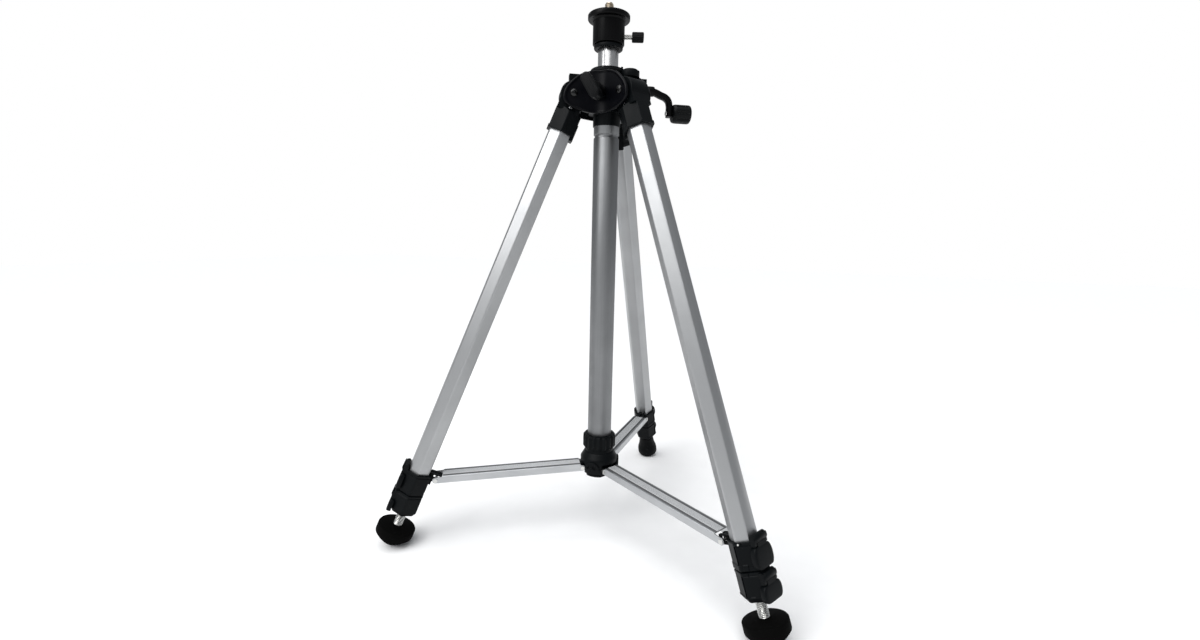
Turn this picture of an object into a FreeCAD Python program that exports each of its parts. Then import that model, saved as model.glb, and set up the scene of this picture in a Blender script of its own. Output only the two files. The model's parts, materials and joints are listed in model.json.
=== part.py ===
import FreeCAD, Part
import math
import os
from FreeCAD import Vector

# A three-legged stand that carries a laser level: three hexagonal telescopic legs, a crown,
# a rack-and-pinion centre column with a swivelling head, a sliding hub and three braces.
# Millimetres, +Z up. The floor is z = 0 and the origin is the middle of the footprint.
# Azimuths run from +Y towards +X, so the back leg is at 0, and the other two at 120 and 240.

# --- driving dimensions ---------------------------------------------------------------
AXIS_Y = -57.4              # column axis, behind which the footprint is longer
LEG_AZIMUTHS = {"back": 0.0, "right": 120.0, "left": 240.0}
LEG_TILT = 22.49            # each leg leans out from the vertical
LEG_TOP_RADIUS = 34.4       # leg axis at the level of its hinge
LEG_TOP_Z = 507.0
HINGE_OUT = 2.9             # hinge pin outside the leg axis, square to the leg
HINGE_DROP = 3.6            # hinge pin down the leg from its top level

# along a leg, measured down its axis from the hinge level
SOCKET_END = 44.4
TUBE_START = 15.0
UPPER_CLAMP_TOP = 453.5
CLAMP_SPLIT = 479.0
LOWER_CLAMP_END = 506.0
LOWER_TUBE_END = 507.0
UPPER_LEVER_PIVOT = 451.5
UPPER_LEVER_TIP = 477.4
LOWER_LEVER_PIVOT = 484.0
LOWER_LEVER_TIP = 505.6
LEVER_PIVOT_OUT = 15.2      # lever pins outside the leg axis
LEVER_INNER = 14.9
LEVER_OUTER = 17.9
EAR_OUTER = 18.0
PLUG_TOP = 479.0            # threaded plug in the end of the lower tube
SPINDLE_RADIUS = 5.0
SPINDLE_TOP = 490.0
SPINDLE_END = 530.5
PAD_RIM_TOP = 524.5
PAD_RIM_END = 534.0
PAD_FLAT = 544.8
BELL_CENTRE = 527.1         # centre of the ball that rounds the plain foot

# hexagonal tubes, across flats
UPPER_AF = 23.0
MIDDLE_AF = 20.0
LOWER_AF = 17.0
UPPER_WALL = 1.2
MIDDLE_WALL = 1.1
LOWER_WALL = 1.2

# crown
COLUMN_RADIUS = 11.0
COLUMN_BORE = 9.4
SLEEVE_RADIUS = 14.0
SLEEVE_BORE = 12.6
CROWN_CORE_RADIUS = 20.0
CHEEK_INNER = 12.6          # half the width of a leg bay
CHEEK_OUTER = 14.8
COVER_OUTER = 17.0
BARREL_RADIUS = 13.5
PIVOT_RADIUS = 3.0
LOCK_Z = 506.0
LEVEL_AZIMUTH = 95.0        # round level on the crown's shoulder
LEVEL_REACH = 26.0
LEVEL_RADIUS = 10.0
LEVEL_SEAT_Z = 524.0
LEVEL_TOP_Z = 536.0
CRANK_AZIMUTH = 60.0
CRANK_OFFSET = 15.5         # crank shaft beside the column
CRANK_Z = 520.0
CRANK_RADIUS = 22.5
PINION_TEETH = 12
WING_HALF_WIDTH = 5.8       # wing of the lock knob
WING_STRAIGHT = 8.2
WING_TURN = 32.0
PINION_MODULE = 1.0
RACK_AZIMUTH = CRANK_AZIMUTH - 90
RACK_PITCH_RADIUS = CRANK_OFFSET - PINION_MODULE * PINION_TEETH / 2

# head
HEAD_BASE_Z = 559.0
HEAD_RADIUS = 17.0
FLANGE_RADIUS = 22.5
FLANGE_BOTTOM_Z = 583.5
FLANGE_TOP_Z = 589.0
STUD_RADIUS = 4.76
STUD_TOP_Z = 601.5
PAD_RADIUS = 20.6           # rubber ring let into the top of the flange
PAD_RECESS = 1.0
COLUMN_TOP_Z = 577.0        # floor of the head's socket
THUMB_RADIUS = 2.5
THUMB_AZIMUTH = 70.4
THUMB_Z = 568.0

# hub and braces
HUB_BORE = 14.3
HUB_PIN_RADIUS = 21.0
HUB_PIN_Z = 84.0
LUG_PIN_RADIUS = 190.0
LUG_PIN_Z = 78.5
BRACE_WIDTH = 20.0
BRACE_WALL = 1.3
RIVET_RADIUS = 1.6
SLOT_INWARD = 2.45          # play of the brace rivet in its lug
SLOT_OUTWARD = 2.05
SLOT_UP = 2.05
SLOT_DOWN = 1.3

X_AXIS = Vector(1, 0, 0)
Y_AXIS = Vector(0, 1, 0)
Z_AXIS = Vector(0, 0, 1)
ORIGIN = Vector(0, 0, 0)


# --- helpers --------------------------------------------------------------------------
def cylinder(radius, bottom, top):
    """Upright cylinder about the Z axis."""
    return Part.makeCylinder(radius, top - bottom, Vector(0, 0, bottom))


def tube(outer, inner, bottom, top):
    return cylinder(outer, bottom, top).cut(cylinder(inner, bottom - 1, top + 1))


def block(x0, x1, y0, y1, z0, z1):
    return Part.makeBox(x1 - x0, y1 - y0, z1 - z0, Vector(x0, y0, z0))


def cross_rod(radius, half_width, y, z):
    """Cylinder along X, centred on x = 0."""
    return Part.makeCylinder(radius, 2 * half_width, Vector(-half_width, y, z), X_AXIS)


def turned(profile):
    """Solid of revolution about Z from (radius, z) corners."""
    corners = [Vector(r, 0, z) for r, z in profile]
    face = Part.Face(Part.makePolygon(corners + corners[:1]))
    return face.revolve(ORIGIN, Z_AXIS, 360)


def prism_along_x(outline, half_width):
    """Plate with a (y, z) outline, centred on x = 0."""
    corners = [Vector(-half_width, y, z) for y, z in outline]
    face = Part.Face(Part.makePolygon(corners + corners[:1]))
    return face.extrude(Vector(2 * half_width, 0, 0))


def hexagon(across_flats, bottom, top, corner=1.6):
    """Hexagonal prism with flats facing +Y and -Y and rounded long edges."""
    reach = across_flats / math.sqrt(3)
    corners = []
    for index in range(6):
        angle = math.radians(60 * index)
        corners.append(Vector(reach * math.cos(angle), reach * math.sin(angle), bottom))
    face = Part.Face(Part.makePolygon(corners + corners[:1]))
    prism = face.extrude(Vector(0, 0, top - bottom))
    upright = [edge for edge in prism.Edges if abs(edge.tangentAt(edge.FirstParameter).z) > 0.9]
    return prism.makeFillet(corner, upright)


def hexagon_tube(across_flats, wall, start, end):
    """Leg section, from start to end down the leg."""
    outside = hexagon(across_flats, -end, -start)
    return outside.cut(hexagon(across_flats - 2 * wall, -end - 1, -start + 1, 1.0))


def at_azimuth(shape, azimuth):
    """Turn a shape built facing +Y to an azimuth."""
    return shape.copy().rotate(ORIGIN, Z_AXIS, -azimuth)


def facing(shape, azimuth, z, offset=0.0):
    """Lay a shape built about +Z so that its axis points out at an azimuth, at height z."""
    laid = shape.copy()
    laid.rotate(ORIGIN, X_AXIS, -90)
    laid.translate(Vector(-offset, 0, z))
    return laid.rotate(ORIGIN, Z_AXIS, -azimuth)


def in_leg(shape, azimuth):
    """Place a shape from the leg frame: X across, Y outwards, Z up the leg from its hinge level."""
    placed = shape.copy()
    placed.rotate(ORIGIN, X_AXIS, LEG_TILT)
    placed.translate(Vector(0, LEG_TOP_RADIUS, LEG_TOP_Z))
    return placed.rotate(ORIGIN, Z_AXIS, -azimuth)


def leg_point(radius, z):
    """Outward and upward coordinates in the leg frame of a point in the leg's plane."""
    tilt = math.radians(LEG_TILT)
    across = radius - LEG_TOP_RADIUS
    up = z - LEG_TOP_Z
    return (across * math.cos(tilt) + up * math.sin(tilt),
            up * math.cos(tilt) - across * math.sin(tilt))


def hinge_place():
    """Radius and height of a leg hinge pin."""
    tilt = math.radians(LEG_TILT)
    radius = LEG_TOP_RADIUS + HINGE_OUT * math.cos(tilt) + HINGE_DROP * math.sin(tilt)
    height = LEG_TOP_Z + HINGE_OUT * math.sin(tilt) - HINGE_DROP * math.cos(tilt)
    return radius, height


def save(name, solids):
    """Shift the finished piece to the footprint's middle and write its STEP file."""
    shape = Part.makeCompound(solids) if isinstance(solids, list) else solids
    shape = shape.copy()
    shape.translate(Vector(0, AXIS_Y, 0))
    for solid in shape.Solids:
        if not solid.isValid():
            print("invalid solid in", name)
    print(name, len(shape.Solids), "solids", round(shape.Volume), "mm3")
    shape.exportStep("parts/" + name + ".step")


# --- crown ----------------------------------------------------------------------------
def cheek_pair():
    """Two upright plates that hold the hinge pin of the leg at azimuth 0."""
    pivot_r = hinge_place()[0]
    outline = [(10, 487.5), (pivot_r - 4, 491), (pivot_r + 4, 495), (pivot_r + 8, 505),
               (pivot_r + 4, 514), (pivot_r - 5, 519), (10, 524)]
    plate = prism_along_x(outline, CHEEK_OUTER)
    return plate.cut(prism_along_x([(0, 470), (70, 470), (70, 545), (0, 545)], CHEEK_INNER))


def bay_cutter():
    """Room for the hinge barrel and socket of the leg at azimuth 0."""
    pivot_r, pivot_z = hinge_place()
    reach = BARREL_RADIUS + 0.6
    swing = cross_rod(reach, CHEEK_INNER, pivot_r, pivot_z)
    below = block(-CHEEK_INNER, CHEEK_INNER, pivot_r - reach, 80, 440, pivot_z)
    return swing.fuse(below)


def bolt_room():
    """Hinge bolt hole with counterbores for its heads, for the leg at azimuth 0."""
    pivot_r, pivot_z = hinge_place()
    hole = cross_rod(PIVOT_RADIUS, 30, pivot_r, pivot_z)
    heads = cross_rod(5.0, 30, pivot_r, pivot_z).cut(cross_rod(6.0, COVER_OUTER, pivot_r, pivot_z))
    return hole.fuse(heads)


def crank_line(shape, offset=CRANK_OFFSET, z=CRANK_Z):
    """Lay a shape built about +Z along the crank shaft."""
    return facing(shape, CRANK_AZIMUTH, z, offset)


def crank_frame_block(rho0, rho1, tau0, tau1, z0, z1):
    """Box given along the crank shaft, square to it away from the column, and in height."""
    return at_azimuth(block(-tau1, -tau0, rho0, rho1, z0, z1), CRANK_AZIMUTH)


def crown_body():
    body = cylinder(CROWN_CORE_RADIUS, 488, 528)
    body = body.fuse(turned([(0, 475), (14.6, 475), (15, 475.4), (15, 488.5), (20, 493), (0, 493)]))
    body = body.fuse(turned([(0, 526), (20, 526), (20, 528.8), (20.5, 529.2), (20.5, 531.2),
                             (18.6, 532.6), (18.6, 533.4), (17.8, 534), (0, 534)]))
    for azimuth in LEG_AZIMUTHS.values():
        body = body.fuse(at_azimuth(cheek_pair(), azimuth))
    body = body.fuse(crank_frame_block(-40, 47, 12.6, 21.5, 511, 532))
    body = body.fuse(crank_frame_block(-38, -24, 12.6, 20, 494, 512))
    body = body.fuse(facing(cylinder(7.0, 10, 24), 180, LOCK_Z))
    level_place = at_point(LEVEL_AZIMUTH, LEVEL_REACH)
    body = body.fuse(cylinder(LEVEL_RADIUS, LEVEL_SEAT_Z, LEVEL_TOP_Z - 2).translated(level_place))
    body = body.fuse(at_azimuth(block(-6, 6, 12, LEVEL_REACH, LEVEL_SEAT_Z, LEVEL_TOP_Z - 3), LEVEL_AZIMUTH))
    for azimuth in LEG_AZIMUTHS.values():
        body = body.cut(at_azimuth(bay_cutter(), azimuth))
    for azimuth in LEG_AZIMUTHS.values():
        body = body.cut(at_azimuth(bolt_room(), azimuth))
    body = body.cut(cylinder(SLEEVE_RADIUS, 470, 505))
    body = body.cut(cylinder(13.0, 500, 530))
    body = body.cut(cylinder(COLUMN_RADIUS + 0.1, 500, 545))
    body = body.cut(crank_line(cylinder(3.05, -60, 60)))
    body = body.cut(crank_line(cylinder(7.6, -5, 5)))
    body = body.cut(facing(cylinder(3.1, 5, 30), 180, LOCK_Z))
    return body.cut(cylinder(LEVEL_RADIUS - 2, LEVEL_TOP_Z - 5, LEVEL_TOP_Z).translated(level_place))


def at_point(azimuth, radius):
    angle = math.radians(azimuth)
    return Vector(radius * math.sin(angle), radius * math.cos(angle), 0)


def cover_outline():
    """Half of a cover's outline seen square on: distance from its middle, and height."""
    return [(0, 528.2), (8, 528), (19, 524), (26.5, 517.5), (32.5, 509.5), (34.6, 502),
            (33.3, 495.5), (27, 490.3), (16, 486.7), (6, 485.1), (0, 485)]


def cover(azimuth):
    """Folded cover plate between two legs; built between 120 and 240, facing azimuth 180."""
    half = cover_outline()
    points = half[:-1] + [(-u, z) for u, z in half[:0:-1]]
    curve = Part.BSplineCurve()
    curve.interpolate([Vector(u, 0, z) for u, z in points], PeriodicFlag=True)
    outline = Part.Face(Part.Wire([curve.toShape()])).extrude(Vector(0, -60, 0))
    wings = cylinder(21.9, 480, 540).cut(cylinder(CROWN_CORE_RADIUS, 480, 540))
    front = block(-14, 14, -30, 0, 480, 540)
    wings = wings.common(front)
    for leg, side in ((120.0, 1), (240.0, -1)):
        x0, x1 = sorted((side * CHEEK_OUTER, side * COVER_OUTER))
        wings = wings.fuse(at_azimuth(block(x0, x1, 9.5, 55, 480, 540), leg))
    wings = wings.cut(cylinder(CROWN_CORE_RADIUS, 480, 540))
    for leg, side in ((120.0, 1), (240.0, -1)):
        x0, x1 = sorted((-side * 60, side * CHEEK_OUTER))
        wings = wings.cut(at_azimuth(block(x0, x1, 0, 60, 480, 540), leg))
    plate = wings.common(outline)
    pivot_r, pivot_z = hinge_place()
    for leg in (120.0, 240.0):
        plate = plate.cut(at_azimuth(cross_rod(PIVOT_RADIUS, 30, pivot_r, pivot_z), leg))
    plate = plate.copy().rotate(ORIGIN, Z_AXIS, 180 - azimuth)
    return plate


def cover_front():
    return cover(180).cut(facing(cylinder(7.0, 10, 30), 180, LOCK_Z))


def cover_crank_side():
    plate = cover(60)
    plate = plate.cut(crank_frame_block(-45, 47, 12.6, 21.5, 511, 532))
    plate = plate.cut(crank_line(cylinder(3.05, -60, 60)))
    return plate.cut(bubble_clearance())


def cover_rear():
    plate = cover(300)
    plate = plate.cut(crank_frame_block(-45, 47, 12.6, 21.5, 511, 532))
    return plate.cut(crank_frame_block(-38, -24, 12.6, 20, 494, 512))


def bubble_clearance():
    pocket = cylinder(LEVEL_RADIUS + 0.2, LEVEL_SEAT_Z - 0.2, 540)
    pocket = pocket.translated(at_point(LEVEL_AZIMUTH, LEVEL_REACH))
    arm = block(-6.2, 6.2, 10, LEVEL_REACH, LEVEL_SEAT_Z - 0.2, 540)
    return pocket.fuse(at_azimuth(arm, LEVEL_AZIMUTH))


def leg_pivot_bolts():
    bolts = []
    pivot_r, pivot_z = hinge_place()
    end = COVER_OUTER
    for azimuth in LEG_AZIMUTHS.values():
        rod = cylinder(PIVOT_RADIUS, -end, end)
        head = turned([(0, end), (4.1, end), (4.1, end + 0.8), (3.3, end + 1.9), (1.8, end + 2.5),
                       (0, end + 2.7)])
        bolt = rod.fuse(head).fuse(head.mirror(ORIGIN, Z_AXIS))
        bolt.rotate(ORIGIN, Y_AXIS, 90)
        bolt.translate(Vector(0, pivot_r, pivot_z))
        bolts.append(at_azimuth(bolt, azimuth))
    return bolts


def bubble_level():
    rim = LEVEL_RADIUS - 2
    top = LEVEL_TOP_Z
    vial = turned([(0, top - 5), (rim, top - 5), (rim, top - 1.8), (rim - 0.8, top - 1), (4, top - 0.2),
                   (0, top)])
    return vial.translated(at_point(LEVEL_AZIMUTH, LEVEL_REACH))


def column_bushing():
    """Nylon guide, open for the pinion and for the lock screw."""
    bushing = tube(13.0, COLUMN_RADIUS + 0.05, 500.5, 529.8)
    bushing = bushing.cut(crank_line(cylinder(8.0, -6, 6)))
    return bushing.cut(facing(cylinder(3.3, 5, 30), 180, LOCK_Z))


def centre_sleeve():
    sleeve = tube(SLEEVE_RADIUS, SLEEVE_BORE, 77, 500)
    groove = turned([(12.9, 463.1), (14.5, 463.1), (14.5, 466.3), (12.9, 466.3)])
    return sleeve.cut(groove)


def lock_knob():
    """Wing knob with its screw, built about +Z pointing out, then laid at azimuth 180."""
    screw = cylinder(3.0, 11.3, 26).fuse(cylinder(0.7, 10.4, 12))
    hub = turned([(0, 25), (7.0, 25), (7.5, 26), (7.5, 38), (6.5, 43), (0, 43)])
    wing = block(-WING_HALF_WIDTH, WING_HALF_WIDTH, -WING_STRAIGHT, WING_STRAIGHT, 41, 55)
    for end in (-WING_STRAIGHT, WING_STRAIGHT):
        wing = wing.fuse(Part.makeCylinder(WING_HALF_WIDTH, 14, Vector(0, end, 41)))
    knob = screw.fuse(hub).fuse(wing.rotate(ORIGIN, Z_AXIS, WING_TURN))
    return facing(knob, 180, LOCK_Z)


# --- centre column and head -----------------------------------------------------------
def centre_column():
    pipe = tube(COLUMN_RADIUS, COLUMN_BORE, 105, 575)
    guide = at_azimuth(block(-0.9, 0.9, 10.1, 12, 100, 580), 180)
    rack_slot = at_azimuth(block(-2.6, 2.6, 5, 12, 104, 552), RACK_AZIMUTH)
    return pipe.cut(guide).cut(rack_slot)


def column_rack():
    """Toothed bar let into the column, its teeth facing the pinion."""
    tooth = math.pi * PINION_MODULE
    root = RACK_PITCH_RADIUS - 1.2 * PINION_MODULE
    tip = RACK_PITCH_RADIUS + 0.8 * PINION_MODULE
    outline = [(6.4, 106), (6.4, 550)]
    top = CRANK_Z + 9 * tooth
    steps = int((top - 112) / tooth)
    outline += [(root, 550)]
    for index in range(steps):
        middle = top - index * tooth
        outline += [(root, middle + 0.38 * tooth), (tip, middle + 0.09 * tooth),
                    (tip, middle - 0.09 * tooth), (root, middle - 0.38 * tooth)]
    outline += [(root, 106)]
    return at_azimuth(prism_along_x(outline, 2.5), RACK_AZIMUTH)


def column_collar():
    return turned([(11, 554.5), (14.8, 554.5), (15.5, 555.3), (15.5, 558.0), (14.9, 558.7), (11, 558.7)])


def head_body():
    """Clamping cylinder under a flange that is recessed for the rubber pad."""
    edge = FLANGE_RADIUS - 0.6
    deck = FLANGE_TOP_Z - PAD_RECESS
    body = turned([(0, HEAD_BASE_Z), (HEAD_RADIUS - 0.6, HEAD_BASE_Z), (HEAD_RADIUS, HEAD_BASE_Z + 0.6),
                   (HEAD_RADIUS, FLANGE_BOTTOM_Z - 1.5), (HEAD_RADIUS + 1.2, FLANGE_BOTTOM_Z),
                   (edge, FLANGE_BOTTOM_Z), (FLANGE_RADIUS, FLANGE_BOTTOM_Z + 0.9),
                   (FLANGE_RADIUS, FLANGE_TOP_Z - 0.8), (edge, FLANGE_TOP_Z), (PAD_RADIUS, FLANGE_TOP_Z),
                   (PAD_RADIUS, deck), (0, deck)])
    body = body.cut(cylinder(COLUMN_RADIUS + 0.05, HEAD_BASE_Z - 9, COLUMN_TOP_Z))
    body = body.cut(cylinder(STUD_RADIUS, COLUMN_TOP_Z, FLANGE_TOP_Z + 1))
    return body.cut(facing(cylinder(THUMB_RADIUS + 0.05, 5, 30), THUMB_AZIMUTH, THUMB_Z))


def platform_pad():
    return tube(PAD_RADIUS, 8.5, FLANGE_TOP_Z - PAD_RECESS, FLANGE_TOP_Z + 0.4)


def mounting_stud():
    """Stud with a washer-like shoulder that rests on the head."""
    deck = FLANGE_TOP_Z - PAD_RECESS
    return turned([(0, COLUMN_TOP_Z + 0.2), (STUD_RADIUS, COLUMN_TOP_Z + 0.2), (STUD_RADIUS, deck),
                   (8.3, deck), (8.3, deck + 1.6), (6.2, deck + 3), (STUD_RADIUS, deck + 3),
                   (STUD_RADIUS, STUD_TOP_Z - 1.1), (3.6, STUD_TOP_Z), (0, STUD_TOP_Z)])


def thumb_screw():
    shaft = cylinder(THUMB_RADIUS, 11.3, 34)
    return facing(shaft, THUMB_AZIMUTH, THUMB_Z)


def thumb_knob():
    knob = turned([(0, 25), (4.6, 25), (5.25, 25.7), (5.25, 36.6), (4.4, 37.5), (0, 37.5)])
    for index in range(14):
        rib = cylinder(0.55, 26.2, 36.2).translated(Vector(5.45, 0, 0))
        knob = knob.cut(rib.rotate(ORIGIN, Z_AXIS, index * 360 / 14))
    return facing(knob.cut(cylinder(2.5, 20, 34)), THUMB_AZIMUTH, THUMB_Z)


# --- crank ----------------------------------------------------------------------------
def crank_shaft():
    return crank_line(cylinder(3.0, -36, 56))


def pinion_gear():
    """Straight-toothed pinion whose teeth start half a pitch off the rack's."""
    root = PINION_MODULE * (PINION_TEETH / 2 - 1.25)
    tip = PINION_MODULE * (PINION_TEETH / 2 + 0.8)
    half_width = 2.3
    gear = cylinder(root, -half_width, half_width)
    for index in range(PINION_TEETH):
        corners = [(-1.05, root - 0.6), (-0.3, tip), (0.3, tip), (1.05, root - 0.6)]
        points = [Vector(x, y, -half_width) for x, y in corners]
        solid = Part.Face(Part.makePolygon(points + points[:1])).extrude(Vector(0, 0, 2 * half_width))
        angle = (index + 0.5) * 360 / PINION_TEETH + 90
        gear = gear.fuse(solid.rotate(ORIGIN, Z_AXIS, angle))
    return crank_line(gear.cut(cylinder(3.0, -5, 5)))


def crank_arm():
    """Bent arm: out of its boss, over a bend and down to the knob's pin."""
    z = CRANK_Z
    outline = [(49, z + 3.4), (58, z + 1.6), (70, z - 2.4), (76, z - 8), (77.6, z - 13.5), (77.8, z - 23),
               (77.2, z - 27), (72.6, z - 27), (71.9, z - 23), (71.6, z - 12.6), (68.6, z - 8.6),
               (57, z - 3.6), (49, z - 3.4)]
    arm = prism_along_x(outline, 4.2)
    arm = arm.translated(Vector(-CRANK_OFFSET, 0, 0)).rotate(ORIGIN, Z_AXIS, -CRANK_AZIMUTH)
    boss = crank_line(cylinder(5.4, 48.6, 56.5))
    arm = arm.fuse(boss)
    arm = arm.cut(crank_line(cylinder(3.0, 40, 56)))
    return arm.cut(crank_line(cylinder(2.0, 66, 86), CRANK_OFFSET, CRANK_Z - CRANK_RADIUS))


def crank_knob_pin():
    pin = cylinder(2.0, 71.2, 96.4).fuse(cylinder(2.9, 70.2, 71.4))
    pin = pin.fuse(cylinder(3.4, 96.4, 97.4))
    return crank_line(pin, CRANK_OFFSET, CRANK_Z - CRANK_RADIUS)


def crank_knob():
    knob = turned([(0, 78.4), (8.6, 78.4), (9.6, 79.4), (10.2, 81.5), (10.2, 96.6), (9.6, 98.8), (8, 99.7),
                   (0, 99.7)])
    for index in range(9):
        groove = Part.makeCylinder(1.1, 14, Vector(10.7, 0, 82))
        knob = knob.cut(groove.rotate(ORIGIN, Z_AXIS, index * 40))
    knob = knob.cut(cylinder(2.06, 70, 96.4))
    knob = knob.cut(cylinder(3.6, 96.3, 97.7))
    return crank_line(knob, CRANK_OFFSET, CRANK_Z - CRANK_RADIUS)


# --- hub ------------------------------------------------------------------------------
def hub_body():
    core = turned([(0, 75), (18.6, 75), (19, 75.6), (19, 77.6), (17.3, 78.4), (17.3, 92), (0, 92)])
    shoulder = turned([(0, 90), (21.9, 90), (21.9, 95.5), (17.5, 103), (16.5, 103.4), (16.5, 107.2),
                       (0, 107.2)])
    lobes = cylinder(21.9, 79.5, 92)
    for azimuth in LEG_AZIMUTHS.values():
        lobes = lobes.cut(at_azimuth(block(-11.2, 11.2, 0, 30, 79, 91), azimuth))
    body = core.fuse(lobes).fuse(shoulder)
    for azimuth in LEG_AZIMUTHS.values():
        slot = block(-11.2, 11.2, 15.8, 30, 74, 91)
        body = body.cut(at_azimuth(slot, azimuth))
        tongue = block(-4.8, 4.8, 14.5, HUB_PIN_RADIUS, HUB_PIN_Z - 3.4, HUB_PIN_Z + 3.4)
        tongue = tongue.fuse(cross_rod(3.4, 4.8, HUB_PIN_RADIUS, HUB_PIN_Z))
        tongue = tongue.cut(cross_rod(RIVET_RADIUS + 0.05, 6, HUB_PIN_RADIUS, HUB_PIN_Z))
        body = body.fuse(at_azimuth(tongue, azimuth))
    body = body.cut(cylinder(HUB_BORE, 70, 120))
    return body


def hub_nut():
    nut = turned([(0, 107.5), (17.6, 107.5), (19.5, 109.6), (19.5, 121.6), (17.4, 124), (0, 124)])
    for index in range(18):
        flute = Part.makeCylinder(2.0, 30, Vector(20.6, 0, 100))
        nut = nut.cut(flute.rotate(ORIGIN, Z_AXIS, index * 20))
    nut = nut.cut(cylinder(16.2, 100, 119))
    return nut.cut(cylinder(HUB_BORE, 100, 130))


def hub_collet():
    ring = tube(15.8, HUB_BORE, 107.4, 118.6)
    return ring.cut(block(-1, 1, 0, 20, 100, 125))


# --- braces ---------------------------------------------------------------------------
def brace_frame():
    """Length and fall of a brace between its two pins."""
    run = LUG_PIN_RADIUS - HUB_PIN_RADIUS
    fall = HUB_PIN_Z - LUG_PIN_Z
    return math.hypot(run, fall), math.degrees(math.atan2(fall, run))


def place_brace(shape, azimuth):
    """From the brace frame: Y along the brace from its hub pin, Z up."""
    fall = brace_frame()[1]
    placed = shape.copy()
    placed.rotate(ORIGIN, X_AXIS, -fall)
    placed.translate(Vector(0, HUB_PIN_RADIUS, HUB_PIN_Z))
    return placed.rotate(ORIGIN, Z_AXIS, -azimuth)


def brace():
    """Inverted channel with ribs along its top."""
    length = brace_frame()[0]
    half = BRACE_WIDTH / 2
    end = 3.3
    side = block(-half, half, 0, length, -end, end).fuse(cross_rod(end, half, 0, 0))
    side = side.fuse(cross_rod(end, half, length, 0))
    top = block(-half, half, 2.2, length - 8, 0, 5.0)
    channel = side.fuse(top)
    inside = half - BRACE_WALL
    channel = channel.cut(block(-inside, inside, -10, length + 10, -10, 3.7))
    for x in (-7.4, -5.2, 5.2, 7.4):
        channel = channel.cut(block(x - 0.45, x + 0.45, 0, length, 4.55, 6))
    channel = channel.cut(cross_rod(RIVET_RADIUS, 20, 0, 0))
    return channel.cut(cross_rod(RIVET_RADIUS, 20, length, 0))


def brace_rivets():
    length = brace_frame()[0]
    half = BRACE_WIDTH / 2
    rivets = []
    for y in (0.0, length):
        rivet = cross_rod(RIVET_RADIUS, half + 0.1, y, 0)
        for side in (-1, 1):
            head = Part.makeCylinder(2.4, 0.7, Vector(side * half, y, 0), Vector(side, 0, 0))
            rivet = rivet.fuse(head)
        rivets.append(rivet)
    return rivets


# --- legs -----------------------------------------------------------------------------
def leg_socket():
    barrel = cross_rod(BARREL_RADIUS, CHEEK_INNER - 0.3, HINGE_OUT, -HINGE_DROP)
    barrel = barrel.makeFillet(1.0, [e for e in barrel.Edges if e.Length > 50])
    neck = block(-CHEEK_INNER + 0.3, CHEEK_INNER - 0.3, -10.4, 14, -22, -HINGE_DROP)
    sleeve = hexagon(28.5, -SOCKET_END, -15, 2.0)
    shoulder = Part.makeCone(20.0, 13.6, 8, Vector(0, 0, -27))
    sleeve = sleeve.common(shoulder.fuse(cylinder(30, -60, -27)))
    lip = hexagon(30.2, -SOCKET_END, -SOCKET_END + 3.2, 2.2)
    inner_tab = block(-7, 7, -15.1, -11, -SOCKET_END - 3.5, -30)
    socket = barrel.fuse(neck).fuse(sleeve).fuse(lip).fuse(inner_tab)
    socket = socket.cut(hexagon(UPPER_AF, -60, -TUBE_START))
    return socket.cut(cross_rod(PIVOT_RADIUS + 0.05, 30, HINGE_OUT, -HINGE_DROP))


def clamp_shell(start, end, bore_upper, bore_lower, step):
    """Clamp housing on a hexagonal leg, from start to end down the leg."""
    shell = hexagon(29.0, -end, -start, 3.2)
    shell = shell.cut(hexagon(bore_upper, -step, -start + 1))
    return shell.cut(hexagon(bore_lower, -end - 1, -step + 0.5, 1.4))


def lever_ears(pivot, lowest):
    """Two ears that carry a lever's stub pins; pivot and lowest are down the leg."""
    ears = block(-9.2, 9.2, 11.9, EAR_OUTER, -lowest, -pivot + 4.2)
    ears = ears.cut(block(-6.4, 6.4, 0, 30, -lowest - 1, -pivot + 6))
    ears = ears.makeFillet(2.0, [e for e in ears.Edges if edge_across(e, EAR_OUTER, -pivot + 4.2)])
    return ears.cut(cross_rod(1.65, 12, LEVER_PIVOT_OUT, -pivot))


def edge_across(edge, y, z):
    """True for an edge along X at a height and an outward distance."""
    first, last = edge.Vertexes[0].Point, edge.Vertexes[-1].Point
    level = abs(first.z - z) < 0.01 and abs(last.z - z) < 0.01
    return level and abs(first.y - y) < 0.01 and abs(last.y - y) < 0.01


def upper_clamp():
    shell = clamp_shell(UPPER_CLAMP_TOP, CLAMP_SPLIT - 0.4, UPPER_AF, MIDDLE_AF + 0.6, 472)
    shell = shell.fuse(lever_ears(UPPER_LEVER_PIVOT, UPPER_LEVER_PIVOT + 6))
    shell = shell.cut(hexagon(UPPER_AF, -470, -440))
    shell = shell.cut(cross_rod(4.2, 6.4, LEVER_PIVOT_OUT, -UPPER_LEVER_PIVOT))
    lug_y, lug_z = leg_point(LUG_PIN_RADIUS, LUG_PIN_Z)
    tongue = block(-4.8, 4.8, lug_y - 5.4, -12, lug_z - 4.3, lug_z + 5.0)
    tongue = tongue.fuse(block(-4.8, 4.8, -16.5, -12, lug_z - 9, lug_z + 2))
    tongue = tongue.cut(hexagon(UPPER_AF, -500, -440))
    slot = block(-6, 6, lug_y - RIVET_RADIUS - SLOT_INWARD, lug_y + RIVET_RADIUS + SLOT_OUTWARD,
                 lug_z - RIVET_RADIUS - SLOT_DOWN, lug_z + RIVET_RADIUS + SLOT_UP)
    shell = shell.fuse(tongue.cut(slot))
    return grooved(shell, UPPER_CLAMP_TOP)


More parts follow.
